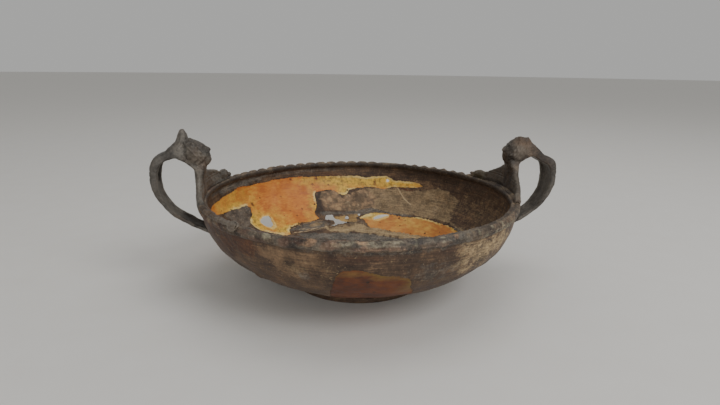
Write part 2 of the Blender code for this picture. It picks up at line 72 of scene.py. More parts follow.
# Losses and holes: each point is an azimuth, and a share of the wall's height from the foot to the lip.
BACK_LOSS = [
    (171.5, .839), (163.9, .845), (158.1, .865), (153.5, .86), (149.8, .884), (146.4, .906), (143.5, .894),
    (139.8, .874), (136.6, .881), (132.3, .877), (129.2, .866), (125.9, .893), (122.4, .883), (115.5, .883),
    (111.2, .881), (107, .855), (104.2, .862), (96.3, .85), (86.2, .847), (81.6, .85), (78.8, .825),
    (76.5, .821), (74.7, .843), (71, .85), (67.8, .867), (65.9, .845), (64.2, .813), (63, .793),
    (60.2, .808), (58.3, .796), (55.5, .808), (52.6, .805), (50.1, .794), (47.7, .768), (48.3, .751),
    (51.1, .721), (54.9, .711), (57.8, .697), (62.6, .701), (64.5, .689), (68.2, .651), (70.6, .66),
    (75.4, .678), (78.2, .668), (81.5, .66), (84.9, .642), (86.6, .618), (87.1, .586), (88.9, .547),
    (90.8, .558), (92.2, .576), (92.9, .603), (95, .632), (97.8, .637), (101.3, .63), (104.3, .616),
    (105, .585), (105.1, .485), (105.7, .426), (107.3, .386), (108.7, .346), (108, .307), (107.3, .286),
    (109.7, .27), (114.9, .273), (119, .271), (123.4, .265), (127.4, .259), (130.5, .247), (132.3, .238),
    (132.9, .215), (133.9, .199), (136.4, .197), (141.4, .22), (144.5, .25), (147.4, .284), (149.8, .315),
    (151.2, .353), (151.8, .387), (151.9, .417), (151.4, .449), (149.2, .468), (148.2, .492), (146, .507),
    (145.4, .564), (144.7, .59), (145.7, .616), (147.4, .629), (150.1, .631), (152.1, .627), (154.9, .645),
    (157.5, .66), (160.1, .658), (163.3, .668), (169, .69), (175, .75), (176, .80),
]
LOWER_LOSS = [
    (77.3, .303), (75.6, .319), (72.9, .333), (70.8, .338), (66, .337), (61.8, .328), (58.2, .323),
    (53.3, .322), (48.6, .327), (45.2, .337), (42.8, .357), (39.6, .353), (35.6, .352), (30.8, .351),
    (26.3, .347), (22.1, .353), (19, .358), (16.1, .348), (12.6, .349), (9.4, .35), (8.5, .345),
    (10.4, .32), (13.8, .289), (15.4, .261), (18.7, .232), (23.5, .207), (28.3, .192), (34.3, .182),
    (40.5, .166), (46.7, .161), (52.5, .155), (58.5, .156), (64.5, .163), (69.6, .172), (72.8, .178),
    (74.7, .203), (76.2, .23), (77.4, .254), (80.5, .262), (80.5, .275),
]
FRONT_LOSS = [
    (-107.5, .48), (-106.8, .537), (-106, .626), (-105.2, .692), (-104.6, .739), (-103.6, .769),
    (-101.8, .787), (-99.8, .795), (-97.8, .793), (-96.5, .772), (-94.7, .746), (-92.5, .725), (-90.6, .709),
    (-88.8, .70), (-87.4, .698), (-85.9, .681), (-84.4, .663), (-83.2, .645), (-82.1, .605), (-82, .562),
    (-81.4, .501), (-78.7, .416), (-76.5, .25), (-76, .06), (-90, .05), (-112, .06), (-110, .3),
]
TEAR_HOLE = [
    (140.2, .444), (136.2, .424), (136.4, .39), (137.4, .355), (138.6, .314), (141.6, .302), (144.2, .328),
    (145.0, .368), (145.2, .404), (142.8, .428),
]
TORN_HOLE = [
    (102.6, .312), (97.2, .313), (97.3, .265), (94.0, .256), (93.0, .240), (88.6, .230), (87.6, .214),
    (92.6, .202), (96.3, .198), (98, .186), (101.8, .190), (101.5, .205), (98.2, .208), (97.4, .225),
    (98.4, .246), (104.0, .252),
]
SLIT_HOLE = [
    (71.8, .270), (69.8, .298), (65.8, .316), (62.4, .320), (61.3, .310), (64.3, .290), (66.9, .268),
    (70.4, .247),
]
# Pinholes: azimuth, share of height, half width round the wall and half height.
BRONZE_PINHOLES = [(88.9, .267, 2.6, 1.7), (80.9, .300, 1.7, 1.2)]
RESIN_PINHOLES = [(129.6, .252, 1.3, 0.9), (66.6, .788, 1.9, 1.7)]
# The flattened left side, a small bulge and the dip beside it: how far out, azimuth and reach in degrees, height
# and reach in millimetres.
PUSHED = [(-1.9, -160, 34, 44, 24), (1.7, -138.2, 2.0, 38.5, 5), (-1.0, -142.7, 4, 43, 8)]


def wall_line(outward, steps):
    """Radius and height down the wall from lip to foot, moved out along the wall's own normal."""
    t = np.linspace(0, 1, steps + 1)[:, None]
    rest = 1 - t
    line = rest**3 * WALL_TOP + 3 * rest**2 * t * UPPER_PULL + 3 * rest * t**2 * LOWER_PULL + t**3 * WALL_FOOT
    along = (rest**2 * (UPPER_PULL - WALL_TOP) + 2 * rest * t * (LOWER_PULL - UPPER_PULL)
             + t**2 * (WALL_FOOT - LOWER_PULL))
    along /= np.linalg.norm(along, axis=1)[:, None]
    return line + outward * np.stack([-along[:, 1], along[:, 0]], axis=1)


def wall_radius(height):
    """Radius of the wall's outer face at a height."""
    line = wall_line(0, 200)[::-1]
    return np.interp(height, line[:, 1], line[:, 0])


def share_height(share):
    """Height at a share of the wall, from the foot up to the lip."""
    return WALL_FOOT[1] + share * (WALL_TOP[1] - WALL_FOOT[1])


def grain(points, size, octaves=3):
    """Smooth random relief, about -1 to 1, at each point. Its lumps are about this size in millimetres."""
    return 2.2 * np.array([noise.fractal(Vector(p) / size, 1.0, 2.0, octaves) for p in points])


def smooth_share(value, low, high):
    """0 below low, 1 above high, and a smooth rise between."""
    t = np.clip((value - low) / (high - low), 0, 1)
    return t * t * (3 - 2 * t)


def mesh_object(name, points, faces):
    """A mesh object from points in millimetres."""
    mesh = bpy.data.meshes.new(name)
    mesh.from_pydata((np.asarray(points) * MM).tolist(), [], faces)
    made = bpy.data.objects.new(name, mesh)
    bpy.context.scene.collection.objects.link(made)
    return made


def points_of(made):
    """The vertices of a mesh object, in millimetres."""
    flat = np.empty(len(made.data.vertices) * 3)
    made.data.vertices.foreach_get("co", flat)
    return flat.reshape(-1, 3) / MM


def normals_of(made):
    """The normals at the vertices of a mesh object."""
    flat = np.empty(len(made.data.vertices) * 3)
    made.data.vertices.foreach_get("normal", flat)
    return flat.reshape(-1, 3)


def set_points(made, points):
    """Puts the vertices of a mesh object at these points, in millimetres."""
    made.data.vertices.foreach_set("co", (points * MM).ravel())
    made.data.update()


def loft(name, rings):
    """A closed solid through rings of equally many points."""
    count = len(rings[0])
    around = np.arange(count)
    faces = [tuple(around), tuple(around + (len(rings) - 1) * count)]
    for r in range(len(rings) - 1):
        low, high = r * count + around, (r + 1) * count + around
        faces += list(zip(low, np.roll(low, -1), np.roll(high, -1), high))
    made = mesh_object(name, np.concatenate(rings), [tuple(int(i) for i in f) for f in faces])
    face_out(made)
    return made


@contextmanager
def opened(made):
    """A mesh object's mesh, open for editing, and put back at the end."""
    work = bmesh.new()
    work.from_mesh(made.data)
    yield work
    work.to_mesh(made.data)
    work.free()


def face_out(made):
    """Turns the faces of a closed mesh outward."""
    with opened(made) as work:
        bmesh.ops.recalc_face_normals(work, faces=work.faces)


def with_modifiers(made):
    """Replaces an object's mesh with what its modifiers make of it."""
    bpy.context.view_layer.update()
    depsgraph = bpy.context.evaluated_depsgraph_get()
    plain = made.data
    made.data = bpy.data.meshes.new_from_object(made.evaluated_get(depsgraph))
    made.data.name = made.name
    made.modifiers.clear()
    bpy.data.meshes.remove(plain)


def cut_with(made, tool, operation='DIFFERENCE'):
    """Cuts a solid with another one, which is then thrown away."""
    cut = made.modifiers.new("cut", 'BOOLEAN')
    cut.solver = 'MANIFOLD'
    cut.operation = operation
    cut.object = tool
    with_modifiers(made)
    bpy.data.objects.remove(tool)


def bar(name, section, steps):
    """A ring's section drawn out straight: X goes once round the rim, Y is the radius."""
    section = np.asarray(section)
    rings = []
    for i in range(steps + 1):
        along = np.full((len(section), 1), RIM_RADIUS * math.pi * (2 * i / steps - 1))
        rings.append(np.hstack([along, section]))
    return loft(name, rings)


def torn_outline(outline, rough=0.35, clearance=0.0):
    """A rounded outline on the straight bar with a finely broken edge. A clearance draws it in all round."""
    corners = np.array([(RIM_RADIUS * math.radians(a), share_height(s)) for a, s in outline])
    for _ in range(2):
        following = np.roll(corners, -1, axis=0)
        corners = np.stack([.75 * corners + .25 * following, .25 * corners + .75 * following], 1).reshape(-1, 2)
    line = []
    for corner, after in zip(corners, np.roll(corners, -1, axis=0)):
        cuts = max(1, math.ceil(np.linalg.norm(after - corner) / 1.4))
        line += [corner + (after - corner) * i / cuts for i in range(cuts)]
    line = np.array(line)
    along = np.roll(line, -1, axis=0) - np.roll(line, 1, axis=0)
    stretch = wall_radius(line[:, 1]) / RIM_RADIUS
    along[:, 0] *= stretch
    along /= np.linalg.norm(along, axis=1)[:, None] + 1e-9
    x, y = line.T
    side = np.sign(np.sum(x * np.roll(y, -1) - y * np.roll(x, -1)))
    inward = np.stack([-along[:, 1], along[:, 0]], 1) * side
    spot = [(px, py, 0) for px, py in line]
    shift = rough * grain(spot, 3.5) + 0.6 * rough * grain(spot, 1.3) + clearance
    moved = inward * shift[:, None]
    moved[:, 0] /= stretch
    return line + moved


def pinhole(azimuth, share, half_wide, half_high):
    """An oval hole's outline on the bar."""
    height = share_height(share)
    wide = half_wide * RIM_RADIUS / wall_radius(height)
    turns = np.radians(np.arange(0, 360, 24))
    wobble = 1 + 0.12 * np.cos(3 * turns + azimuth)
    x = RIM_RADIUS * math.radians(azimuth) + wide * np.cos(turns) * wobble
    return np.stack([x, height + half_high * np.sin(turns) * wobble], 1)


def punch(name, outlines):
    """Level cutters through the bar's wall, one for each outline, as one mesh."""
    points, faces = [], []
    for outline in outlines:
        start, count = len(points), len(outline)
        points += [(x, radius, z) for radius in PUNCH_REACH for x, z in outline]
        ring = list(range(start, start + count))
        faces += [tuple(ring), tuple(i + count for i in ring)]
        faces += [(a, b, b + count, a + count) for a, b in zip(ring, ring[1:] + ring[:1])]
    made = mesh_object(name, points, faces)
    face_out(made)
    return made


def roll_up(made):
    """Rolls a straight bar up round the axis into a ring without a seam."""
    end = RIM_RADIUS * MM * math.pi * (1 - 1e-6)
    with opened(made) as work:
        caps = [f for f in work.faces if all(abs(v.co.x) > end for v in f.verts)]
        bmesh.ops.delete(work, geom=caps, context='FACES')
        for vertex in work.verts:
            angle, radius = vertex.co.x / (RIM_RADIUS * MM), vertex.co.y
            vertex.co.x = radius * math.cos(angle)
            vertex.co.y = radius * math.sin(angle)
        bmesh.ops.remove_doubles(work, verts=work.verts, dist=2e-6)
        bmesh.ops.recalc_face_normals(work, faces=work.faces)


def polar(points):
    """Azimuth in degrees, radius and height of each point."""
    return np.degrees(np.arctan2(points[:, 1], points[:, 0])), np.hypot(points[:, 0], points[:, 1]), points[:, 2]


def turn_between(azimuth, other):
    """How far one azimuth is past another, from -180 to 180."""
    return (azimuth - other + 180) % 360 - 180


def patch_mask(points, patches, ragged=0.0, feather=0.5):
    """How far each point lies in any of the patches, 0 to 1.

    A patch is an azimuth, a climb, half its length round the wall, half its length up, and a strength.
    """
    azimuth, radius, height = polar(points)
    climb = radius + height
    mask = np.zeros(len(points))
    for place, level, half_round, half_up, strength in patches:
        around = np.radians(turn_between(azimuth, place)) * radius / half_round
        up = (climb - level) / half_up
        out = np.hypot(around, up) - 0.3 * ragged
        mask = np.maximum(mask, strength * (1 - smooth_share(out, 1 - feather, 1 + feather)))
    return mask


def edge_distance(points, outline):
    """Distance in millimetres to a stain's outline of (azimuth, climb) corners, above 0 inside it."""
    azimuth, radius, height = polar(points)
    middle = np.mean([corner[0] for corner in outline])
    x, y = np.radians(turn_between(azimuth, middle)) * STAIN_RADIUS, radius + height
    corners = [(math.radians(a - middle) * STAIN_RADIUS, c) for a, c in outline]
    nearest, inside = np.full(len(points), FAR_OFF), np.zeros(len(points), dtype=bool)
    for (x0, y0), (x1, y1) in zip(corners, corners[1:] + corners[:1]):
        t = np.clip(((x - x0) * (x1 - x0) + (y - y0) * (y1 - y0)) / ((x1 - x0)**2 + (y1 - y0)**2), 0, 1)
        nearest = np.minimum(nearest, np.hypot(x - x0 - t * (x1 - x0), y - y0 - t * (y1 - y0)))
        crosses = (y0 > y) != (y1 > y)
        inside ^= crosses & (x < x0 + (y - y0) / (y1 - y0 + 1e-9) * (x1 - x0))
    return np.where(inside, nearest, -nearest)


def area_mask(points, outlines, ragged, feather=2.0):
    """How far each point lies inside any of the outlines, 0 to 1. Each is (strength, corners)."""
    mask = np.zeros(len(points))
    for strength, outline in outlines:
        inner = edge_distance(points, outline) + 1.5 * ragged
        mask = np.maximum(mask, strength * smooth_share(inner, -feather, feather))
    return mask


def line_mask(points, lines, width=1.1):
    """How near each point lies to any of the lines, 0 to 1. Each is (strength, azimuth and climb places)."""
    mask = np.zeros(len(points))
    for strength, line in lines:
        there_and_back = line + line[-2:0:-1]
        mask = np.maximum(mask, strength * np.exp(-(edge_distance(points, there_and_back) / width) ** 2))
    return mask


def ring_mask(points, rings, ragged):
    """How near each point lies to any of the oval rings, 0 to 1."""
    azimuth, radius, height = polar(points)
    mask = np.zeros(len(points))
    for place, level, half_round, half_up in rings:
        around = np.radians(turn_between(azimuth, place)) * radius / half_round
        out = np.hypot(around, (radius + height - level) / half_up) + 0.25 * ragged
        mask = np.maximum(mask, np.exp(-((out - 1) / 0.25) ** 2) * (0.6 + 0.4 * np.clip(2 * ragged, -1, 1)))
    return mask


def dents(points):
    """How far the wall is pushed in or out: soft hammer marks, the flattened left side and a small bulge."""
    azimuth, radius, height = polar(points)
    live = smooth_share(radius + height, 84, 110)
    upper = 1 - smooth_share(height, 70, 81)
    flat_side, bulge, dip = (
        depth * np.exp(-(turn_between(azimuth, place) / wide) ** 2 - ((height - level) / high) ** 2)
        for depth, place, wide, level, high in PUSHED)
    return live * upper * (0.5 * grain(points, 38, 2) + 0.12 * grain(points, 11, 3)) + flat_side + (bulge + dip)


def wall_out_direction(points):
    """The wall's outward direction at each point, from the nearest place on its section."""
    azimuth, radius, height = polar(points)
    line = wall_line(0, 160)
    out = wall_line(1, 160) - line
    steps = np.arange(len(line))
    level = np.interp(radius + height, line.sum(axis=1)[::-1], steps[::-1])
    r_part, z_part = (np.interp(level, steps, part) for part in out.T)
    turn = np.radians(azimuth)
    return np.stack([r_part * np.cos(turn), r_part * np.sin(turn), z_part], axis=1)


def write_mask(made, name, values):
    """Stores three masks on the vertices, for the material to read. A plain number counts for every vertex."""
    kept = made.data.attributes.new(name, 'FLOAT_VECTOR', 'POINT')
    kept.data.foreach_set("vector", np.stack(np.broadcast_arrays(*values), axis=1).astype(np.float32).ravel())


def linear(colour):
    """An sRGB hex colour as linear light."""
    parts = [int(colour[i:i + 2], 16) / 255 for i in (1, 3, 5)]
    return [p / 12.92 if p <= 0.04045 else ((p + 0.055) / 1.055) ** 2.4 for p in parts] + [1]


def add(tree, kind, inputs, ramp=None, **settings):
    """Adds a node with its settings. Each input is a value, or another node's output to link."""
    made = tree.nodes.new("ShaderNode" + kind)
    for name, value in settings.items():
        setattr(made, name, value)
    for socket, value in inputs.items():
        if isinstance(value, bpy.types.NodeSocket):
            tree.links.new(value, made.inputs[socket])
        else:
            made.inputs[socket].default_value = value
    if ramp:
        while len(made.color_ramp.elements) < len(ramp):
            made.color_ramp.elements.new(0.5)
        for stop, (place, colour) in zip(made.color_ramp.elements, ramp):
            stop.position = place
            stop.color = linear(colour)
    return made.outputs


def start_material(name):
    """A new material, its node tree and shader, and the place of each spot in millimetres."""
    made = bpy.data.materials.new(name)
    made.use_nodes = True
    tree = made.node_tree
    place = add(tree, "TexCoord", {})["Object"]
    spot = add(tree, "VectorMath", {0: place, 3: 1 / MM}, operation='SCALE')[0]
    return made, tree, tree.nodes["Principled BSDF"], spot


def aged_bronze(name, skin, patches, speck, turned, roughness, relief, wear_and_light_shades=None, marks=None):
    """Buried bronze: a dull mineral skin over metal, so little shine, with coloured crusts and pitting.

    The skin is four colours from dark to light. Patches are (mask name, mask channel, two colours, amount).
    Turned is the depth of the lathe's rings, and relief the depth of the pitting, in millimetres. Marks are
    the colours of pale lines, of golden flecks, and four of dried crust from the middle of a cell to its seam.
    """
    made, tree, shader, spot = start_material(name)
    height = add(tree, "SeparateXYZ", {0: spot})["Z"]
    flat = add(tree, "VectorMath", {0: spot, 1: (1, 1, 0)}, operation='MULTIPLY')[0]
    radius = add(tree, "VectorMath", {0: flat}, operation='LENGTH')["Value"]
    climb = add(tree, "Math", {0: radius, 1: height}, operation='ADD')[0]
    up = add(tree, "CombineXYZ", {2: climb})[0]
    # Lathe rings stand about 1.6 mm apart and run 23 mm on. Scratches run down the wall, 1.5 mm apart.
    rings_at = add(tree, "VectorMath", {0: flat, 1: (0.07, 0.07, 0), 2: up}, operation='MULTIPLY_ADD')[0]
    rings = add(tree, "TexNoise", {"Vector": rings_at, "Scale": 0.62, "Detail": 4.0, "Roughness": 0.65})["Fac"]
    round_it = add(tree, "VectorMath", {0: flat}, operation='NORMALIZE')[0]
    low_up = add(tree, "VectorMath", {0: up, 3: 0.06}, operation='SCALE')[0]
    scratch_at = add(tree, "VectorMath", {0: round_it, 1: (150, 150, 0), 2: low_up}, operation='MULTIPLY_ADD')[0]
    scratches = add(tree, "TexNoise", {
        "Vector": scratch_at, "Scale": 1 / 1.5, "Detail": 3.0, "Distortion": 0.4})["Fac"]
    # Mottling is 14 mm across, crusts 5.5 mm, and the fine grain 1.7 mm.
    mottle = add(tree, "TexNoise", {"Vector": spot, "Scale": 1 / 14, "Detail": 8.0, "Roughness": 0.68})["Fac"]
    lumps = add(tree, "TexNoise", {"Vector": spot, "Scale": 1 / 5.5, "Detail": 6.0, "Roughness": 0.65})["Fac"]
    fine = add(tree, "TexNoise", {"Vector": spot, "Scale": 1 / 1.7, "Detail": 4.0, "Roughness": 0.7})["Fac"]
    drawn = add(tree, "Mix", {0: 0.16, 2: rings, 3: scratches})[0]
    streaked = add(tree, "Mix", {0: 0.5 if turned else 0.1, 2: mottle, 3: drawn})[0]
    blotched = add(tree, "Mix", {0: 0.26, 2: streaked, 3: fine})[0]
    colour = add(tree, "ValToRGB", {0: blotched},
                 ramp=[(0.40, skin[0]), (0.47, skin[1]), (0.53, skin[2]), (0.60, skin[3])])[0]
    masks = {}
    speckled = add(tree, "Math", {0: lumps, 1: 1.3}, operation='MULTIPLY')[0]
    speckled = add(tree, "Math", {0: fine, 1: 0.9, 2: speckled}, operation='MULTIPLY_ADD')[0]
    for mask_name, channel, shades, amount in patches:
        if mask_name not in masks:
            read = add(tree, "Attribute", {}, attribute_name=mask_name)["Vector"]
            masks[mask_name] = add(tree, "SeparateXYZ", {0: read})
        broken = add(tree, "Math", {0: masks[mask_name][channel], 1: speckled}, operation='ADD')[0]
        edge = add(tree, "MapRange", {0: broken, 1: 1.30, 2: 1.95, 3: 0.0, 4: amount})[0]
        shade = add(tree, "MapRange", {0: blotched, 1: 0.43, 2: 0.58})[0]
        shade = add(tree, "Mix", {0: shade, 6: linear(shades[0]), 7: linear(shades[1])}, data_type='RGBA')[2]
        colour = add(tree, "Mix", {0: edge, 6: colour, 7: shade}, data_type='RGBA')[2]
    if marks:
        seen = add(tree, "SeparateXYZ", {0: add(tree, "Attribute", {}, attribute_name="marks")["Vector"]})
        # Crust dried in cells about 8 mm across, with bent seams.
        bent = add(tree, "TexNoise", {"Vector": spot, "Scale": 1 / 6, "Detail": 5.0, "Roughness": 0.6})["Color"]
        bent = add(tree, "VectorMath", {0: bent, 1: (16, 16, 16), 2: spot}, operation='MULTIPLY_ADD')[0]
        cells = add(tree, "TexVoronoi", {"Vector": bent, "Scale": 1 / 8})["Distance"]
        cells = add(tree, "Mix", {0: 0.45, 2: cells, 3: blotched})[0]
        net = add(tree, "ValToRGB", {0: cells}, ramp=list(zip((0.30, 0.40, 0.52, 0.64), marks[2:])))[0]
        netted = add(tree, "Math", {0: seen["Y"], 1: lumps}, operation='ADD')[0]
        netted = add(tree, "MapRange", {0: netted, 1: 0.75, 2: 1.2, 3: 0.0, 4: 0.75})[0]
        colour = add(tree, "Mix", {0: netted, 6: colour, 7: net}, data_type='RGBA')[2]
        # Flecks run with the turning, 1.6 mm wide and about 3 mm long.
        flecks_at = add(tree, "VectorMath", {0: flat, 1: (0.5, 0.5, 0), 2: up}, operation='MULTIPLY_ADD')[0]
        flecks = add(tree, "TexNoise", {
            "Vector": flecks_at, "Scale": 1 / 1.6, "Detail": 5.0, "Distortion": 0.8})["Fac"]
        flecks = add(tree, "Mix", {0: 0.35, 2: flecks, 3: mottle})[0]
        flecks = add(tree, "MapRange", {0: flecks, 1: 0.485, 2: 0.605, 3: 0.0, 4: 0.82})[0]
        flecks = add(tree, "Math", {0: flecks, 1: seen["Z"]}, operation='MULTIPLY')[0]
        colour = add(tree, "Mix", {0: flecks, 6: colour, 7: linear(marks[1])}, data_type='RGBA')[2]
        lined = add(tree, "Math", {0: fine, 1: 0.5, 2: seen["X"]}, operation='MULTIPLY_ADD')[0]
        lined = add(tree, "MapRange", {0: lined, 1: 0.55, 2: 0.95, 3: 0.0, 4: 0.85})[0]
        colour = add(tree, "Mix", {0: lined, 6: colour, 7: linear(marks[0])}, data_type='RGBA')[2]
    # Pale specks sit on the tops of the fine grain, and dark ones in its hollows.
    for start, full, amount, shade in ((0.60, 0.74, 0.5, speck), (0.40, 0.27, 0.6, skin[0])):
        specks = add(tree, "MapRange", {0: fine, 1: start, 2: full, 3: 0.0, 4: amount})[0]
        colour = add(tree, "Mix", {0: specks, 6: colour, 7: linear(shade)}, data_type='RGBA')[2]
    # Wear, with painted light and shade on the handles. The first channel pales rubbed edges, and also the strap's
    # shaded inner channel as painted light. The second darkens hollows with dirt, and the outer faces as painted
    # shade.
    if wear_and_light_shades:
        wear_and_painted_light = add(tree, "SeparateXYZ", {0: add(tree, "Attribute", {}, attribute_name="wear_and_painted_light")["Vector"]})
        rubbed_and_lit = add(tree, "Math", {0: wear_and_painted_light["X"], 1: lumps}, operation='MULTIPLY')[0]
        rubbed_and_lit = add(tree, "MapRange", {0: rubbed_and_lit, 1: 0.10, 2: 0.55, 3: 0.0, 4: 0.8})[0]
        for share, shade in zip((rubbed_and_lit, wear_and_painted_light["Y"]), wear_and_light_shades):
            colour = add(tree, "Mix", {0: share, 6: colour, 7: linear(shade)}, data_type='RGBA')[2]
    tree.links.new(colour, shader.inputs["Base Color"])
    dull = add(tree, "MapRange", {0: blotched, 1: 0.38, 2: 0.62, 3: roughness - 0.12, 4: roughness + 0.12})[0]
    tree.links.new(dull, shader.inputs["Roughness"])
    shader.inputs["Metallic"].default_value = 0.2
    shader.inputs["Sheen Weight"].default_value = 0.02
    shader.inputs["Sheen Roughness"].default_value = 0.35
    pits = add(tree, "Bump", {"Height": fine, "Distance": relief * MM, "Strength": 0.9})[0]
    crust = add(tree, "Bump", {"Height": lumps, "Distance": 1.8 * relief * MM, "Strength": 0.9, "Normal": pits})[0]
    if turned:
        crust = add(tree, "Bump", {"Height": drawn, "Distance": turned * MM, "Strength": 0.8, "Normal": crust})[0]
    tree.links.new(crust, shader.inputs["Normal"])
    return made


def finish_piece(made, material, nodes, crease=38):
    """Shades a piece, and ties it to the CAD nodes that it stands for."""
    made.data.materials.clear()
    made.data.materials.append(material)
    made.data.shade_smooth()
    made.data.set_sharp_from_angle(angle=math.radians(crease))
    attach(made, "root")
    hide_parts(*nodes)


FOOT_SECTION = [
    (66.2, 5.9), (66.1, 5.3), (67.0, 4.9), (67.4, 4.2), (67.2, 3.0), (67.3, 1.6), (67.0, 0.7), (66.4, 0.1),
    (65.4, 0.0), (62.6, 0.0), (61.6, 0.2), (61.1, 0.9), (61.0, 2.2), (60.4, 4.2), (58.6, 5.0),
]
inner_wall = wall_line(-WALL_THICK, INNER_STEPS)[::-1]
inner_reach = np.linspace(0, 1, 16)[:-1, None]
inner_floor = np.hstack([
    inner_wall[0, 0] * inner_reach, FLOOR_TOP + (inner_wall[0, 1] - FLOOR_TOP) * inner_reach**2,
])
outer_reach = np.linspace(1, 0, 16)[1:, None]
under_floor = np.hstack([58.6 * outer_reach, FLOOR_UNDERSIDE + 2.0 * outer_reach**2])
bowl_section = np.vstack([
    inner_floor, inner_wall, [(145.6, 83.5), (147.2, 83.5)], wall_line(0, WALL_STEPS), FOOT_SECTION, under_floor,
])
bowl = bar("bowl_wall", bowl_section, ROUND_STEPS)
losses = [torn_outline(outline) for outline in (BACK_LOSS, LOWER_LOSS, FRONT_LOSS)]
losses.append(torn_outline(TORN_HOLE, rough=0.25))
losses += [pinhole(*pin) for pin in BRONZE_PINHOLES]
for loss in losses:
    cut_with(bowl, punch("punch", [loss]))
roll_up(bowl)
at_rest = points_of(bowl)
set_points(bowl, at_rest + dents(at_rest)[:, None] * wall_out_direction(at_rest))

at_rest = points_of(bowl)
_, bowl_radius, bowl_height = polar(at_rest)
middle_line = wall_line(-WALL_THICK / 2, 200)[::-1]
inside = smooth_share(np.interp(bowl_height, middle_line[:, 1], middle_line[:, 0]) - bowl_radius, -0.2, 0.2)
# Below the wall, what lies over this height is the floor's upper face.
in_floor = (bowl_height > FLOOR_SIDES_PART) & (bowl_radius < WALL_FOOT[0])
inside = np.where(bowl_height < WALL_FOOT[1] + 1, in_floor, inside)
outside = 1 - inside
# Stains inside, as corners of azimuth and climb, each outline after its strength.
PLATEAU = [
    (77, 192), (68, 195), (61, 194), (53, 193), (46, 200), (40, 205), (34, 205), (29, 200), (25, 195), (26, 185),
    (26, 167), (24, 160), (17, 153), (7, 154), (12, 149), (21, 152), (31, 153), (42, 148), (55, 146), (65, 147),
    (73, 154), (77, 170),
]
RETICULATED = [
    (101, 186), (96, 191), (93, 186), (90, 176), (85, 184), (77, 192), (73, 181), (72, 158), (80, 148),
    (90, 146), (99, 150), (102, 158), (102, 173),
]
SLATE_BAND = [
    (106, 148), (90, 146), (73, 154), (65, 151), (56, 149), (44, 149), (51, 140), (64, 136), (77, 137),
    (93, 138), (105, 141),
]
DARK_CORNER = [
    (104, 193), (96, 192), (100, 184), (102, 173), (102, 160), (101, 146), (107, 144), (107, 160), (105, 176),
]
GREY_PANEL = [
    (165, 193), (158, 194), (152, 193), (146, 190), (145, 183), (147, 175), (148, 166), (153, 157), (160, 157),
    (161, 172), (164, 185),
]
FLAP = [(132, 123), (124, 127), (116, 128), (109, 128), (104, 127), (100, 119), (105, 114), (114, 113), (124, 114)]
BLISTER = [(86, 128), (80, 126), (76, 122), (74, 113), (80, 110), (86, 114), (90, 119)]
FLOOR_SLATE = [
    (131, 112), (119, 106), (109, 101), (96, 98), (84, 97), (71, 95), (58, 94), (46, 95), (34, 98), (24, 104),
    (40, 88), (60, 82), (84, 79), (105, 86), (122, 96),
]
FLOOR_CREAM = [
    (107, 110), (100, 112), (91, 113), (84, 113), (76, 114), (66, 114), (52, 113), (40, 113), (30, 114), (22, 118),
    (24, 107), (33, 100), (44, 96), (54, 95), (67, 96), (80, 98), (92, 99), (104, 102),
]
PALE_LINES = [
    (.75, [(61, 197), (59, 189), (56, 178), (51, 168)]),
    (.8, [(99, 116), (102, 113), (109, 113), (116, 114), (125, 119)]),
    (.6, [(130, 124), (123, 127), (116, 129), (109, 129), (104, 128)]),
    (.8, [(131, 116), (124, 113), (117, 111), (110, 111), (105, 114)]),
    (.7, [(100, 104), (88, 104), (74, 102), (60, 100), (47, 101), (34, 106), (24, 113)]),
    (.3, [(25, 195), (26, 185), (26, 167), (24, 160), (17, 153)]),
]
DARK_LINES = [
    (1, [(72, 112.5), (60, 112), (48, 111.5), (36, 112), (26, 115)]),
    (.4, [(108, 138), (98, 141), (86, 143), (78, 142)]),
]
SLATE_IN = [(.65, SLATE_BAND), (.7, GREY_PANEL), (.8, FLAP), (.85, FLOOR_SLATE), (.4, BLISTER)]
CREAM_IN = [(1.1, RETICULATED), (1.1, PLATEAU), (1.1, FLOOR_CREAM)]
# Where fill resin was smeared out thin over the bronze between the pinholes.
SMEARED_RESIN = [(88, 128, 12, 6, 1.1), (95, 133, 6, 3, .9), (84, 136, 8, 3, .8), (98, 128, 5, 3, .6)]
PALE_SPOTS = [
    (107, 170, 4, 4, .9), (42, 186, 8, 8, .5), (88, 187, 3, 3, .8), (82, 151, 9, 3, .5), (112, 122, 10, 3, .6),
    (30, 154, 12, 2, .6), (60, 150, 14, 2, .4), (27, 168, 10, 8, .45), (39, 180, 15, 10, .35),
    (52, 160, 16, 5, .3),
]
SLATE_SPOTS = [
    (150, 224, 46, 6, .85), (110, 224, 60, 3, .5), (12, 145, 9, 6, 1.1), (72, 104, 30, 3, .6), (36, 167, 7, 5, .8),
    (66, 180, 14, 6, .4),
]
CREAM_SPOTS = [
    (28, 160, 9, 5, .9), (86, 116, 20, 4, .6), (100, 180, 5, 5, .5), (30, 154, 12, 2, 1), (43, 187, 10, 8, .8),
    (37, 177, 12, 8, .9), (82, 166, 12, 8, .8), (76, 184, 12, 5, .6), (112, 122, 12, 4, .9), (96, 115, 12, 4, .9),
    (2, 185, 70, 38, .3),
]
TAN_IN = [
    (82, 200, 60, 8, .5), (40, 178, 16, 8, .6), (28, 165, 7, 5, 1), (90, 170, 10, 6, .6), (-20, 170, 60, 40, .4),
    (5, 190, 40, 20, .35), (46, 205, 14, 8, .8),
]
RUST_IN = [
    (56, 191, 11, 7, 1.1), (100, 213, 30, 6, .5), (14, 168, 18, 14, .45), (64, 140, 26, 3, .5),
    (108, 160, 5, 20, .5),
]
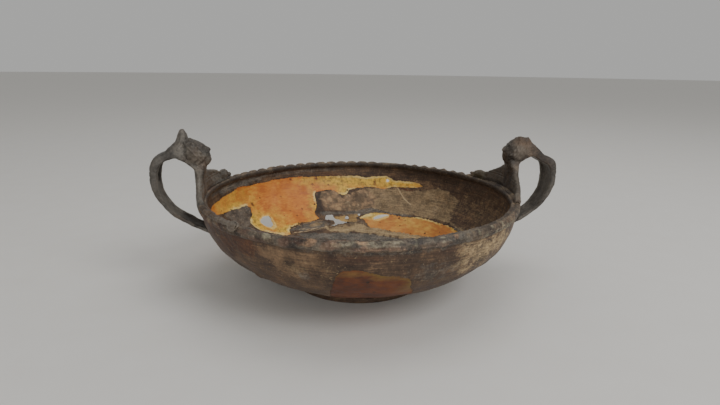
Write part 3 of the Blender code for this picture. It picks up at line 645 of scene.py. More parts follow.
# Dark spots inside, and painted shade. The two broad faint patches near azimuths 8 and -30 darken the inner right wall
# as painted shade. The thin band just under the lip round the back is partly dark brown colour and partly painted
# shadow of the lip.
DARK_SPOTS_AND_SHADE_IN = [
    (8, 200, 60, 36, .12), (-30, 190, 60, 50, .15), (38, 222, 60, 8, .7), (100, 230, 170, 3.5, 1),
    (98, 178, 4, 4, .7), (85, 91, 60, 10, .45), (67, 170, 17, 12, .35), (34, 163, 4, 4, .9), (29, 154, 6, 3, .8),
    (46, 169, 5, 4, .6), (66, 186, 9, 4, .45), (70, 171, 7, 3, .45), (52, 160, 9, 3, .45), (10, 186, 5, 4, .7),
    (2, 172, 4, 4, .7),
]
# Rings of dried crust: azimuth, climb, half width round the wall and half height.
RINGS = [(100, 168, 5, 6), (89, 171, 8, 9), (84, 159, 7, 5), (94, 183, 5, 4), (79, 180, 7, 6)]
LEFT_SCRATCHES = [
    (.5, [(-150, 221), (-145, 210), (-140, 194)]), (.4, [(-143, 222), (-137, 213), (-132, 200)]),
    (.4, [(-147, 224), (-141, 212), (-136, 197)]), (.5, [(-154, 219), (-149, 206), (-145, 196)]),
]
LEFT_SCORES = [
    (1, [(-152, 222), (-147, 211), (-142, 196)]), (.9, [(-145, 224), (-139, 214), (-134, 202)]),
    (1, [(-149, 223), (-143, 212), (-138, 200)]), (.8, [(-156, 220), (-151, 208), (-147, 196)]),
    (.8, [(-141, 224), (-135, 214), (-130, 206)]), (.7, [(-138, 218), (-131, 205), (-126, 196)]),
]
FLECKED = [
    (-67, 225), (-61, 226), (-47, 224), (-38, 222), (-40, 208), (-48, 198), (-55, 188), (-66, 184), (-64, 206),
]
RED_LEFT = [
    (-160, 226), (-147, 227), (-136, 228), (-129, 228), (-131, 206), (-138, 180), (-150, 160), (-166, 190),
]
TAN_LEFT = [
    (-129, 224), (-122, 226), (-115, 226), (-109, 227), (-108, 218), (-111, 204), (-117, 190), (-124, 188),
    (-130, 200),
]
SLATE_OUT = [(-125, 197, 6, 5, .6), (-114, 197, 6, 7, .6), (-92, 227, 80, 3, .4), (-74, 200, 26, 14, .35)]
CREAM_OUT = [
    (-58, 212, 22, 13, .9), (-48, 217, 12, 8, .8), (-66, 220, 12, 6, .5), (-62, 193, 12, 6, .6),
    (-116, 205, 10, 6, .4), (-108, 208, 5, 9, .25),
]
TAN_OUT = [(-118, 180, 20, 16, .4), (-70, 190, 30, 18, .25), (-108, 120, 30, 25, .4), (90, 180, 90, 30, .4)]
RUST_OUT = [(-100, 221, 24, 5, .5), (-106, 112, 14, 12, .9), (-72, 222, 20, 4, .4), (20, 190, 50, 30, .4)]
# Dark patches outside. The broad one at azimuth -152 darkens the left side as painted shade. The thin band just under
# the lip at the front is partly dark crust and partly painted shade under the lip.
DARK_SPOTS_AND_SHADE_OUT = [
    (-96, 226, 60, 2.5, .8), (-82, 214, 24, 9, .45), (-57, 205, 6, 9, .95), (-119, 213, 5, 6, .8),
    (90, 120, 170, 20, .4), (-152, 192, 46, 44, .55), (-104, 206, 26, 20, .6), (-92, 178, 70, 26, .35),
    (-50, 168, 60, 26, .45), (-96, 205, 30, 5, .5), (-76, 204, 34, 26, .58), (-106, 213, 17, 14, .55),
]
ragged = grain(at_rest, 7, 4)
slate = outside * patch_mask(at_rest, SLATE_OUT, ragged) + inside * np.maximum(
    area_mask(at_rest, SLATE_IN, ragged), patch_mask(at_rest, SLATE_SPOTS, ragged))
cream = inside * np.maximum(area_mask(at_rest, CREAM_IN, ragged, 1.2), patch_mask(at_rest, CREAM_SPOTS, ragged))
cream += outside * patch_mask(at_rest, CREAM_OUT, ragged)
tan = inside * patch_mask(at_rest, TAN_IN, ragged) + outside * np.maximum(
    patch_mask(at_rest, TAN_OUT, ragged), area_mask(at_rest, [(.95, TAN_LEFT)], ragged, 6))
rust = inside * patch_mask(at_rest, RUST_IN, ragged) + outside * np.maximum(
    patch_mask(at_rest, RUST_OUT, ragged), area_mask(at_rest, [(.95, RED_LEFT)], 2 * ragged, 9))
# Dark stains mixed with painted shade, inside and out: the second channel of the stains.
dark_and_shade = inside * np.maximum(patch_mask(at_rest, DARK_SPOTS_AND_SHADE_IN, ragged), area_mask(at_rest, [(1, DARK_CORNER)], ragged))
dark_and_shade = np.maximum(dark_and_shade, inside * line_mask(at_rest, DARK_LINES)) + outside * np.maximum(
    patch_mask(at_rest, DARK_SPOTS_AND_SHADE_OUT, ragged), line_mask(at_rest, LEFT_SCORES, 0.9))
write_mask(bowl, "crusts", [slate, cream, tan])
pale = inside * np.maximum(
    area_mask(at_rest, [(.85, FLOOR_CREAM), (.25, PLATEAU)], 2 * ragged, 3), patch_mask(at_rest, PALE_SPOTS, ragged))
write_mask(bowl, "stains_and_shade", [rust, dark_and_shade, pale])
write_mask(bowl, "film", [inside * patch_mask(at_rest, SMEARED_RESIN, ragged), 0, 0])
pale_lines = inside * np.maximum(line_mask(at_rest, PALE_LINES, 1.1), 0.55 * ring_mask(at_rest, RINGS, ragged))
pale_lines += outside * line_mask(at_rest, LEFT_SCRATCHES, 0.9)
netted = inside * area_mask(at_rest, [(1, RETICULATED), (.35, PLATEAU), (.3, FLAP), (.3, GREY_PANEL)], ragged)
write_mask(bowl, "marks", [pale_lines, netted, outside * area_mask(at_rest, [(1.1, FLECKED)], 2 * ragged, 11)])
# The crusts stand a little proud of the wall, with a ledge at their edge.
crust_depth = (0.35 * np.clip(cream, 0, 1) + 0.22 * slate - 0.25 * dark_and_shade + 0.3 * pale_lines) * (1 + 0.8 * ragged)
above_foot = smooth_share(bowl_radius + bowl_height, 84, 96)
below_lip = 1 - smooth_share(bowl_height, 72, 79)
crust_depth = 0.8 * crust_depth * above_foot * below_lip
set_points(bowl, at_rest + (crust_depth * (outside - inside))[:, None] * wall_out_direction(at_rest))
bowl_skin = aged_bronze(
    "patinated hammered bronze", skin=("#38291f", "#4c3a2d", "#614c3a", "#86694d"),
    patches=[
        ("crusts", 2, ("#624d39", "#9a7c5c"), 0.7), ("stains_and_shade", 0, ("#432619", "#643c27"), 0.75),
        ("stains_and_shade", 1, ("#251b15", "#3f3126"), 0.8), ("crusts", 0, ("#4a4844", "#888175"), 0.85),
        ("crusts", 1, ("#66553f", "#b39a73"), 0.8), ("stains_and_shade", 2, ("#86704f", "#c3a97f"), 0.7),
        ("film", 0, ("#8d6e42", "#cda868"), 0.75),
    ],
    speck="#9c866a", turned=0.26, roughness=0.62, relief=0.25,
    marks=("#c4ab84", "#c0a67c", "#b4946d", "#99795a", "#735d48", "#4a3a2e"),
)
finish_piece(bowl, bowl_skin, ["bowl"])


# The lip: a thick cast moulding on the wall's edge, its outer face a row of worn egg shapes with small
# pearls under them and a smooth fillet inside. The front is rubbed almost flat and crusted with bluish
# corrosion, and one stretch at the back has lost its eggs.
EGGS = 70
STEPS_PER_EGG = 16
EGG_DEPTH = 2.1
PEARLS_PER_EGG = 4
# Each row is a radius and height, how deeply the eggs and the pearls are cut there, and how far out corrosion
# has filled the hollow under the lip where it is worn.
LIP_SECTION = np.array([
    (145.9, 80.6, 0, 0, 0), (143.4, 81.3, 0, 0, 0), (142.0, 81.7, 0, 0, 0), (141.4, 82.6, 0, 0, 0),
    (141.2, 84.0, 0, 0, 0), (141.2, 85.2, 0, 0, 0), (141.6, 86.1, 0, 0, 0), (142.3, 86.8, 0, 0, 0),
    (143.1, 87.0, 0, 0, 0), (144.0, 86.8, 0, 0, 0), (144.6, 86.4, 0, 0, 0), (145.1, 86.4, .1, 0, 0),
    (145.7, 87.1, .45, 0, 0), (146.5, 87.7, .75, 0, 0), (147.4, 87.9, .95, 0, 0), (148.4, 87.5, 1, 0, 0),
    (149.2, 86.6, 1, 0, 0), (149.7, 85.5, 1, 0, 0), (150.0, 84.5, .95, 0, 0), (149.9, 83.6, .75, 0, 0),
    (149.6, 82.9, .4, 0, 0), (149.2, 82.4, .1, 0, .1), (149.1, 82.0, 0, .3, .3), (149.4, 81.6, 0, 1, .1),
    (149.2, 81.0, 0, 1, -.1), (148.5, 80.5, 0, .3, .5), (147.4, 79.8, 0, 0, .2),
])


def stretch(azimuth, middle, reach, sharpness=4):
    """1 on a stretch of the rim round its middle, and 0 beyond its reach in degrees."""
    return np.exp(-(turn_between(azimuth, middle) / reach) ** sharpness)


steps_round = EGGS * STEPS_PER_EGG
lip_rings = []
for i in range(steps_round):
    angle = 2 * math.pi * i / steps_round - math.pi
    lip_rings.append(np.stack([
        LIP_SECTION[:, 0] * math.cos(angle), LIP_SECTION[:, 0] * math.sin(angle), LIP_SECTION[:, 1]], axis=1))
across = len(LIP_SECTION)
lip_faces = []
for i in range(steps_round):
    low, high = i * across, (i + 1) % steps_round * across
    lip_faces += [(low + j, low + (j + 1) % across, high + (j + 1) % across, high + j) for j in range(across)]
lip = mesh_object("beaded_lip", np.concatenate(lip_rings), lip_faces)
face_out(lip)
at_rest = points_of(lip)
lip_azimuth, lip_radius, lip_height = polar(at_rest)
egg_weight, pearl_weight, filled = (np.tile(LIP_SECTION[:, c], steps_round) for c in (2, 3, 4))
phase = (lip_azimuth * EGGS / 360) % 1 - 0.5
round_egg = np.sqrt(np.clip(1 - (phase / 0.44) ** 2, 0, 1))
pointed_egg = np.clip(1 - np.abs(phase + 0.08) / 0.40, 0, 1)
pointed = stretch(lip_azimuth, 45, 26)
egg = round_egg + (pointed_egg - round_egg) * 0.8 * pointed
pearl_phase = (lip_azimuth * EGGS * PEARLS_PER_EGG / 360) % 1 - 0.5
pearl = np.sqrt(np.clip(1 - (pearl_phase / 0.48) ** 2, 0, 1))
smooth_back = stretch(lip_azimuth, 66, 7)
rubbed_front = stretch(lip_azimuth, -103, 50, 6)
rubbed_right = 0.92 * stretch(lip_azimuth, -33, 28)
rubbed_left = 0.5 * stretch(lip_azimuth, 155, 18)
under_left, under_right = (stretch(lip_azimuth, middle, 21, 6) for middle in (180, -3))
kept = 1 - np.maximum.reduce([smooth_back, 0.96 * rubbed_front, rubbed_right, rubbed_left, under_left, under_right])
core = np.array((145.2, 83.6))
toward = core - np.stack([lip_radius, lip_height], axis=1)
toward /= np.linalg.norm(toward, axis=1)[:, None]
uneven = 1 + 0.3 * grain(at_rest, 15, 2)
deep = kept * uneven * (EGG_DEPTH * egg_weight * (1 - egg) + 0.5 * pearl_weight * (1 - pearl))
deep += 0.9 * np.maximum(smooth_back, 0.5 * rubbed_front) * egg_weight
crusted = np.maximum(rubbed_front, 0.5 * rubbed_right)
# The crust is smeared along the rim, so its lumps are two and a half times as long as they are high.
smeared = np.stack([0.4 * at_rest[:, 0], 0.4 * at_rest[:, 1], lip_height - lip_radius], axis=1)
lumps = grain(smeared, 4, 3)
on_top = 0.45 + 0.55 * smooth_share(lip_height, 81, 84)
built_up = on_top * ((0.08 + 0.2 * crusted) * lumps + (0.08 + 0.24 * crusted) * grain(at_rest, 2.2, 3))
built_up += (0.08 + 0.14 * crusted) * grain(at_rest, 18, 2) + 0.7 * crusted * filled
turn = np.radians(lip_azimuth)
set_points(lip, at_rest + (deep - built_up)[:, None] * np.stack(
    [toward[:, 0] * np.cos(turn), toward[:, 0] * np.sin(turn), toward[:, 1]], axis=1))
at_rest = points_of(lip)
LIP_SLATE = [
    (-92, 236, 70, 30, .55), (-130, 230, 14, 10, .6), (-120, 236, 14, 8, .55), (-72, 234, 26, 8, .7),
    (165, 236, 8, 8, .5), (-69, 237, 4, 4, 1),
]
LIP_CREAM = [
    (-124.5, 237, 4, 5, 1.1), (-93.2, 236, 10, 2.5, .6), (-102, 236, 8, 3, .5), (-88, 237, 5, 3, .5),
    (-46, 229.5, 34, 1.8, 1), (-84.3, 237, 1.6, 1.6, 1), (-83.2, 234, 1.2, 1.6, .9), (-75, 236, 2, 1.6, 1),
    (-56, 236, 2, 1.6, .8), (-50, 235, 2, 1.4, .8), (-62, 234, 1.6, 1.4, 1), (-58.6, 232, 1.8, 1.2, 1),
    (-53.5, 232, 1.6, 1.2, 1), (-47, 233, 2, 1.2, 1), (-36, 236, 24, 10, .25), (-150, 236, 16, 6, .35),
    (-140, 238, 8, 5, .5), (-46, 233, 26, 2, .4),
]
LIP_TAN = [
    (-111.8, 238, 7, 4, 1), (-97.6, 238, 6, 3.5, 1), (-104.5, 238, 5, 2.5, .6), (-70.8, 236, 2.5, 2.5, .8),
    (120, 236, 90, 8, .35), (40, 236, 50, 8, .35), (-90, 229, 40, 2.5, .4), (-46, 236, 24, 8, .35),
]
LIP_RUST = [
    (-150, 234, 26, 12, .9), (-128, 228, 10, 6, .8), (-24, 236, 20, 10, .3), (172, 234, 14, 10, .6),
    (-115, 236, 4, 3, .8), (-106, 235, 7, 4, .8), (-96, 232, 26, 1.8, .8), (-77, 232, 16, 2, .5),
    (-119, 234, 6, 4, .8), (-133, 236, 6, 4, .7),
]
ragged = grain(smeared, 4, 4)
outer_side = smooth_share(lip_radius, 144.6, 145.6)
slate, cream, tan = (patch_mask(at_rest, patches, ragged) for patches in (LIP_SLATE, LIP_CREAM, LIP_TAN))
write_mask(lip, "crusts", [slate, outer_side * cream, outer_side * tan])
# The lip's inner face is darkened, partly in its own dark brown colour and partly as painted shade of the groove under
# the lip.
inner_side = 1 - smooth_share(lip_radius, 141.4, 142.4)
write_mask(lip, "stains_and_shade", [patch_mask(at_rest, LIP_RUST, ragged), 0.9 * inner_side, 0])
write_mask(lip, "wear_and_painted_light", [
    np.clip(0.8 * egg_weight * kept * egg + 0.45 * crusted * np.clip(lumps, 0, 1), 0, 1),
    np.clip(0.75 * kept * egg_weight * (1 - egg) + 0.45 * crusted * np.clip(-lumps - 0.1, 0, 1), 0, 1),
    0,
])
lip_skin = aged_bronze(
    "crusted lip bronze", skin=("#362b24", "#4e4238", "#665848", "#8a7860"),
    patches=[
        ("crusts", 0, ("#47443f", "#736d62"), 0.8), ("stains_and_shade", 0, ("#543a2d", "#775646"), 0.65),
        ("stains_and_shade", 1, ("#2a211b", "#40342a"), 0.8), ("crusts", 2, ("#6f543e", "#b48d69"), 0.7),
        ("crusts", 1, ("#66614f", "#b5ad90"), 0.65),
    ],
    speck="#b9ae98", turned=0, roughness=0.6, relief=0.42, wear_and_light_shades=("#7c6c57", "#2b231d"),
)
finish_piece(lip, lip_skin, ["bowl"], crease=50)


# The fills: tinted resin that a restorer cast into the losses, level with the wall on both faces. The two
# inside are ochre and waxy, yellower where they thin out, with small dark air pits, and the lower one is
# dusty. High on the left the large one is painted lighter, partly its yellowing and partly painted light
# where the rim and handle shade it, and a painted highlight rings each open hole. The one in front of the
# foot was toned to a dark red brown, with an olive margin.
RESIN_SINK = 0.25
EDGE_MARGIN, HOLE_MARGIN = 5, 2.5
# A painted highlight in cream round each open hole in the resin.
HOLE_EDGE_HIGHLIGHT = "#efcb78"
FILL_ROUND_STEPS = 900
FILL_WALL_STEPS = 90
# Where the resin thins and yellows. High on the large fill near azimuth 153 the patches are partly painted light,
# lightening the resin where the rim and the left handle shade it.
YELLOWED_AND_LIT = [
    (77, 210, 72, 15, 1.1), (89, 190, 10, 12, 1.1), (149, 158, 10, 30, 1), (130, 127, 28, 8, 1),
    (141, 146, 10, 18, .8), (154, 198, 40, 26, .5), (138, 150, 24, 30, .45), (153, 195, 18, 6, 1),
    (75, 138, 20, 7, 1.1), (45, 146, 34, 3, .8), (112, 140, 8, 20, .5), (15, 148, 10, 5, .7),
    (107, 175, 6, 40, .5), (42, 132, 50, 14, .3), (-81, 180, 9, 18, .9), (-89, 197, 18, 5, .8),
    (-100, 204, 12, 4, .7),
]
# Rust stains and open bubbles in the resin.
RUSTED = [
    (142, 188.5, 2.2, 3.4, 1), (144.7, 184.5, 1.7, 1.6, .9), (103, 212, 1.7, 2.2, 1), (105.2, 203, 1.8, 1.8, .9),
    (96.8, 200.6, 1.5, 1.3, .9), (109.7, 213.7, 1.3, 1.1, 1), (116.3, 213.7, 1.3, 1.1, 1),
    (90.3, 211.7, 1.3, 1.2, 1), (114.5, 160.2, 1.1, 1.1, 1), (119.6, 148.8, 1.2, 1.2, 1),
    (119.9, 131.8, 1.6, 1.6, 1), (106.6, 150.8, 1.1, 1.1, 1), (73, 204, 1.8, 6, .6), (124, 189, 1.1, 1.1, .8),
    (122, 161, 1.1, 1.1, .8), (110, 160, 3, 8, .35),
]
# Where the resin was feathered out thin over the bronze, a bright cream edge shows.
FEATHERED = [
    (-97, 200, 20, 7, .9), (-84, 184, 20, 12, 1), (150, 194, 20, 6, 1), (87, 188, 12, 8, 1),
    (74, 210, 60, 14, .8), (146, 128, 30, 14, 1), (106, 182, 5, 14, 1), (151, 160, 6, 20, .9),
    (128, 124, 16, 8, .9), (40, 148, 40, 4, .8), (76, 136, 16, 6, 1), (128, 224, 30, 6, .6),
]
FILL_SEAM = [(0.5, [(140, 218), (141, 208), (142, 196)])]


def distance_to_edge(points, outlines):
    """Millimetres from each point to the nearest of these outlines on the bar."""
    azimuth, _, height = polar(points)
    x = RIM_RADIUS * np.radians(azimuth)
    stretch = wall_radius(height) / RIM_RADIUS
    nearest = np.full(len(points), FAR_OFF)
    for outline in outlines:
        for px, pz in outline:
            apart = RIM_RADIUS * np.radians(turn_between(azimuth, math.degrees(px / RIM_RADIUS)))
            nearest = np.minimum(nearest, np.hypot(apart * stretch, height - pz))
    return nearest


def fill_piece(name, outline, holes):
    """A resin fill: the stretch of wall inside an outline, a hair clear of the torn bronze all round."""
    section = np.vstack([
        wall_line(RESIN_SINK - WALL_THICK, FILL_WALL_STEPS)[::-1], wall_line(-RESIN_SINK, FILL_WALL_STEPS)])
    made = bar(name, section, FILL_ROUND_STEPS)
    edge = torn_outline(outline, clearance=TORN_CLEARANCE)
    cut_with(made, punch("punch", [edge]), 'INTERSECT')
    for hole in holes:
        cut_with(made, punch("punch", [hole]))
    roll_up(made)
    at_rest = points_of(made)
    swell = dents(at_rest) + 0.12 * grain(at_rest, 14, 2) + 0.05 * grain(at_rest, 4, 2)
    set_points(made, at_rest + swell[:, None] * wall_out_direction(at_rest))
    at_rest = points_of(made)
    feathered = 0.3 + 0.7 * patch_mask(at_rest, FEATHERED)
    edged = feathered * np.clip(1 - distance_to_edge(at_rest, [edge]) / EDGE_MARGIN, 0, 1)
    write_mask(made, "margins", [
        np.maximum(edged, line_mask(at_rest, FILL_SEAM, 1.5)),
        np.clip(1 - distance_to_edge(at_rest, holes) / HOLE_MARGIN, 0, 1),
        patch_mask(at_rest, YELLOWED_AND_LIT, 0.5 * grain(at_rest, 12, 3), 0.7),
    ])
    write_mask(made, "flaws", [patch_mask(at_rest, RUSTED, grain(at_rest, 1.6, 2), 0.3), 0, 0])
    return made


def tinted_resin(name, body, pale, ground, margin, flaw, pit, roughness):
    """Filled epoxy resin: matt and slightly waxy, with cloudy tint, brush drags and open air pits."""
    made, tree, shader, spot = start_material(name)
    # Clouds of tint are about 22 mm across, brush drags 2.5 mm, and pits are drawn 2 mm wide so that they show.
    clouds = add(tree, "TexNoise", {"Vector": spot, "Scale": 1 / 22, "Detail": 6.0, "Roughness": 0.6})["Fac"]
    drags_at = add(tree, "VectorMath", {0: spot, 1: (0.4, 0.4, 1.4)}, operation='MULTIPLY')[0]
    drags = add(tree, "TexNoise", {"Vector": drags_at, "Scale": 1 / 2.5, "Detail": 4.0, "Distortion": 0.6})["Fac"]
    tint = add(tree, "Mix", {0: 0.36, 2: clouds, 3: drags})[0]
    colour = add(tree, "ValToRGB", {0: tint}, ramp=[(0.40, body[0]), (0.50, body[1]), (0.60, body[2])])[0]
    margins = add(tree, "SeparateXYZ", {0: add(tree, "Attribute", {}, attribute_name="margins")["Vector"]})
    broken = add(tree, "Math", {0: drags, 1: 0.9}, operation='MULTIPLY')[0]
    thin_and_lit = add(tree, "Math", {0: clouds, 1: 0.9, 2: margins["Z"]}, operation='MULTIPLY_ADD')[0]
    thin_and_lit = add(tree, "Math", {0: thin_and_lit, 1: broken}, operation='ADD')[0]
    thin_and_lit = add(tree, "MapRange", {0: thin_and_lit, 1: 1.05, 2: 1.90, 3: 0.0, 4: 0.9})[0]
    colour = add(tree, "Mix", {0: thin_and_lit, 6: colour, 7: linear(pale)}, data_type='RGBA')[2]
    # Thin resin lets the dark ground under it show in blotches of about 5 mm.
    blots = add(tree, "TexNoise", {"Vector": spot, "Scale": 1 / 5, "Detail": 6.0, "Roughness": 0.75})["Fac"]
    blots = add(tree, "MapRange", {0: blots, 1: 0.46, 2: 0.60, 3: 0.0, 4: 0.9})[0]
    blots = add(tree, "Math", {0: blots, 1: thin_and_lit}, operation='MULTIPLY')[0]
    colour = add(tree, "Mix", {0: blots, 6: colour, 7: linear(ground)}, data_type='RGBA')[2]
    # The fill's outer margin pales in its own colour; the ring round each hole is a painted highlight.
    for channel, full, shade in (("X", 1.3, margin), ("Y", 1.35, HOLE_EDGE_HIGHLIGHT)):
        rim = add(tree, "Math", {0: margins[channel], 1: broken}, operation='ADD')[0]
        rim = add(tree, "MapRange", {0: rim, 1: 0.85, 2: full, 3: 0.0, 4: 0.9})[0]
        colour = add(tree, "Mix", {0: rim, 6: colour, 7: linear(shade)}, data_type='RGBA')[2]
    cells = add(tree, "TexVoronoi", {"Vector": spot, "Scale": 1 / 7, "Randomness": 1.0})
    few = add(tree, "SeparateColor", {0: cells["Color"]})["Red"]
    wide = add(tree, "MapRange", {0: few, 1: 0.5, 2: 1.0, 3: 0.0, 4: 0.2})[0]
    pits = add(tree, "Math", {0: cells["Distance"], 1: wide}, operation='LESS_THAN')[0]
    flaws = add(tree, "SeparateXYZ", {0: add(tree, "Attribute", {}, attribute_name="flaws")["Vector"]})
    for share, shade in ((flaws["X"], flaw), (pits, pit)):
        colour = add(tree, "Mix", {0: share, 6: colour, 7: linear(shade)}, data_type='RGBA')[2]
    tree.links.new(colour, shader.inputs["Base Color"])
    dull = add(tree, "MapRange", {0: drags, 1: 0.3, 2: 0.7, 3: roughness - 0.08, 4: roughness + 0.08})[0]
    tree.links.new(dull, shader.inputs["Roughness"])
    shader.inputs["IOR"].default_value = 1.53
    drag_bump = add(tree, "Bump", {"Height": drags, "Distance": 0.18 * MM, "Strength": 0.8})[0]
    pit_bump = add(tree, "Bump", {"Height": pits, "Distance": -0.5 * MM, "Strength": 0.8, "Normal": drag_bump})[0]
    tree.links.new(pit_bump, shader.inputs["Normal"])
    return made


ochre_marks = {"ground": "#735319", "margin": "#ecd288", "flaw": "#6b3a18", "pit": "#40240f"}
ochre = tinted_resin(
    "ochre tinted resin", body=("#b96722", "#cb7b2b", "#d68e3a"), pale="#e9be48", roughness=0.55, **ochre_marks)
dusty_ochre = tinted_resin(
    "dusty ochre resin", body=("#ae6a2c", "#c07c36", "#cd9047"), pale="#e2bd55", roughness=0.6, **ochre_marks)
brown = tinted_resin(
    "brown tinted resin", body=("#4a240e", "#613112", "#733f17"), pale="#76582b", ground="#52300f",
    margin="#6e5626", flaw="#3a1d10", pit="#2a1810", roughness=0.6,
)
back_holes = [torn_outline(TEAR_HOLE, rough=0.2)] + [pinhole(*pin) for pin in RESIN_PINHOLES]
finish_piece(fill_piece("large_ochre_fill", BACK_LOSS, back_holes), ochre, ["back_fill"])
slit_hole = [torn_outline(SLIT_HOLE, rough=0.1)]
finish_piece(fill_piece("lower_ochre_fill", LOWER_LOSS, slit_hole), dusty_ochre, ["lower_fill"])
finish_piece(fill_piece("brown_front_fill", FRONT_LOSS, []), brown, ["front_fill"])


# The handles: each one solid lost-wax casting, a ribbed strap that bends at a knuckle into a small head
# under a leaf, then a stem that spreads into arms along the rim, ending in birds' heads. Handling has
# rubbed the edges pale, and dirt stays in the hollows. Painted light and shade go with these: the channel
# inside the strap is painted lighter, and the outer faces and the plate inside the stem are painted darker.
VOXEL = 0.52
HANDLE_SWING = 3.2
SEAT_GAP = 0.1
LEAST_PIECE = 200
GROOVE_DEPTH = 0.35
COLLAR_GROOVES = (9.0, 11.4)
KNUCKLE_NICKS = (20.5, 26.0)
HEAD_HEIGHT, HEAD_DEPTH, HEAD_WIDTH = 28.5, 20.5, 21.7
HEAD_BACK, HEAD_RISE = 2.4, 39.0
CROWN_OUT, CROWN_RISE = 8.0, 44.5
CROWN_SIZES = (6.0, 6.5, 5.0)
CREST_HEIGHT, CREST_WIDTH, LOOP_REACH, LOOP_RISE = 20.5, 14.8, 33.8, 40.0
ARM_WIDTH = 6.8
# The strap's middle line: out from the rim's edge, up from its top, thickness, width, depth of the channel
# inside, and how far the station hangs down in a bent loop. The stem's rows leave out the last two.
STRAP = np.array([
    (-20.3, -37.2, 4.5, 22.0, 1.2, 1.0), (-12.9, -33.4, 4.5, 22.0, 1.2, 1.0), (-5.8, -29.6, 4.5, 22.0, 1.2, 1.0),
    (1.4, -25.9, 4.2, 21.1, 1.2, 1.0), (8.4, -21.6, 3.9, 20.9, 1.2, 1.0), (14.5, -17.6, 3.6, 20.9, 1.2, 1.0),
    (21.1, -12.2, 3.6, 21.6, 1.2, 1.0), (26.8, -4.6, 4.0, 22.4, 1.2, 1.0), (31.2, 3.5, 5.0, 23.5, 1.2, 1.0),
    (33.2, 10.5, 6.0, 25.1, 1.6, 1.0), (33.8, 16.0, 6.5, 25.5, 1.9, 1.0), (33.5, 22.4, 6.8, 25.5, 1.9, 1.0),
    (32.6, 28.4, 7.7, 25.1, 1.6, 0.9), (30.4, 33.2, 8.2, 24.0, 1.0, 0.8), (26.5, 36.2, 7.4, 20.9, 0.4, 0.7),
    (21.7, 38.5, 7.6, 18.5, 0.0, 0.5), (15.6, 41.4, 10.6, 16.9, 0.0, 0.4), (10.1, 41.0, 13.0, 16.5, 0.0, 0.3),
    (3.2, 37.6, 13.0, 16.9, 0.0, 0.3),
])
STEM = np.array([
    (-3.5, 31.6, 12.8, 16.8), (-5.1, 26.0, 10.9, 19.0), (-4.2, 20.0, 8.8, 23.5), (-3.8, 14.0, 7.5, 30.8),
    (-3.7, 8.0, 7.2, 40.3), (-3.6, 2.0, 7.2, 50.4), (-3.6, -1.6, 7.2, 56.0),
])
# The curl at an arm's end, from its back to the middle of its face: share of its radius, and how far it stands.
CURL_PROFILE = [
    (0.5, -3.0), (0.9, -2.6), (1.0, 0.2), (0.96, 2.0), (0.86, 2.5), (0.76, 2.1), (0.66, 1.6), (0.58, 1.7),
    (0.50, 2.3), (0.42, 2.5), (0.33, 2.2), (0.27, 1.9), (0.20, 2.2), (0.10, 2.7), (0.02, 2.8),
]
# The leaf behind the crown: share of its height, inner and outer edge as shares of the reach, and width.
LEAF = np.array([
    (-0.05, 0.08, 0.70, 1.0), (0.18, 0.09, 0.627, 0.95), (0.33, 0.10, 0.51, 0.88), (0.49, 0.11, 0.424, 0.77),
    (0.70, 0.125, 0.367, 0.61), (0.85, 0.155, 0.335, 0.45), (0.95, 0.194, 0.307, 0.30), (1.0, 0.218, 0.287, 0.19),
])


def eased(rows, per_span):
    """Rows of numbers joined by a smooth curve, with this many steps between two rows."""
    padded = np.vstack([rows[:1], rows, rows[-1:]])
    made = []
    for i in range(1, len(padded) - 2):
        a, b, c, d = padded[i - 1:i + 3]
        for t in np.arange(per_span) / per_span:
            made.append(0.5 * (2 * b + (c - a) * t + (2 * a - 5 * b + 4 * c - d) * t**2
                               + (3 * b - a - 3 * c + d) * t**3))
    return np.array(made + [rows[-1]])


def strap_section(thick, wide, channel, lens):
    """The strap across: (across, outward) pairs, ribbed outside, with a channel between raised edges inside.

    A lens share of 1 thins the section to its two edges, as the stem is.
    """
    half, deep = wide / 2, thick / 2
    share = np.linspace(-1, 1, 25)
    across = np.abs(share)
    crown = deep * (1 - (0.16 + 0.5 * lens) * share**2)
    crown -= 0.6 * np.exp(-((across - 0.62) / 0.06) ** 2) * min(1, channel)
    crown -= 0.3 * deep * smooth_share(across, 0.85, 1.0)
    hollow = -deep * (1 - 0.62 * lens * share**2) + 1.25 * channel * (1 - smooth_share(across, 0.52, 0.70))
    hollow += 0.25 * deep * smooth_share(across, 0.92, 1.0)
    outer = np.stack([share * half, crown], axis=1)
    inner = np.stack([share[::-1] * half, hollow[::-1]], axis=1)
    edge = np.array([(half * 1.015, 0.0)])
    return np.vstack([outer, edge, inner, -edge])


def loop_rings(stands_out, hangs, slump):
    """Rings of points down the strap and the stem, at azimuth 0. A slump lowers the strap behind the head."""
    strap = eased(STRAP, 4)
    stem = eased(STEM, 4)
    rows = np.vstack([strap, np.hstack([stem, np.zeros((len(stem), 2))])])
    curved = np.array([0] * len(strap) + [1] * len(stem))
    lens = smooth_share(np.arange(len(rows)), len(strap) + 2, len(strap) + 12)
    rings = []
    for i, (out, up, thick, wide, channel, hang) in enumerate(rows):
        up -= slump * math.exp(-((out - 22) / 8) ** 2) * smooth_share(up, 22, 32)
        before, after = rows[max(i - 2, 0)], rows[min(i + 2, len(rows) - 1)]
        along = (after - before)[:2]
        along /= np.linalg.norm(along)
        ring = []
        for sideways, off in strap_section(thick, wide, max(channel, 0), lens[i]):
            radius = RIM_RADIUS + stands_out + out + off * along[1]
            lift = RIM_TOP + up - hangs * hang - off * along[0]
            turn = sideways / radius
            if curved[i]:
                ring.append((radius * math.cos(turn), radius * math.sin(turn), lift))
            else:
                ring.append((radius, sideways, lift))
        rings.append(np.array(ring))
    return rings


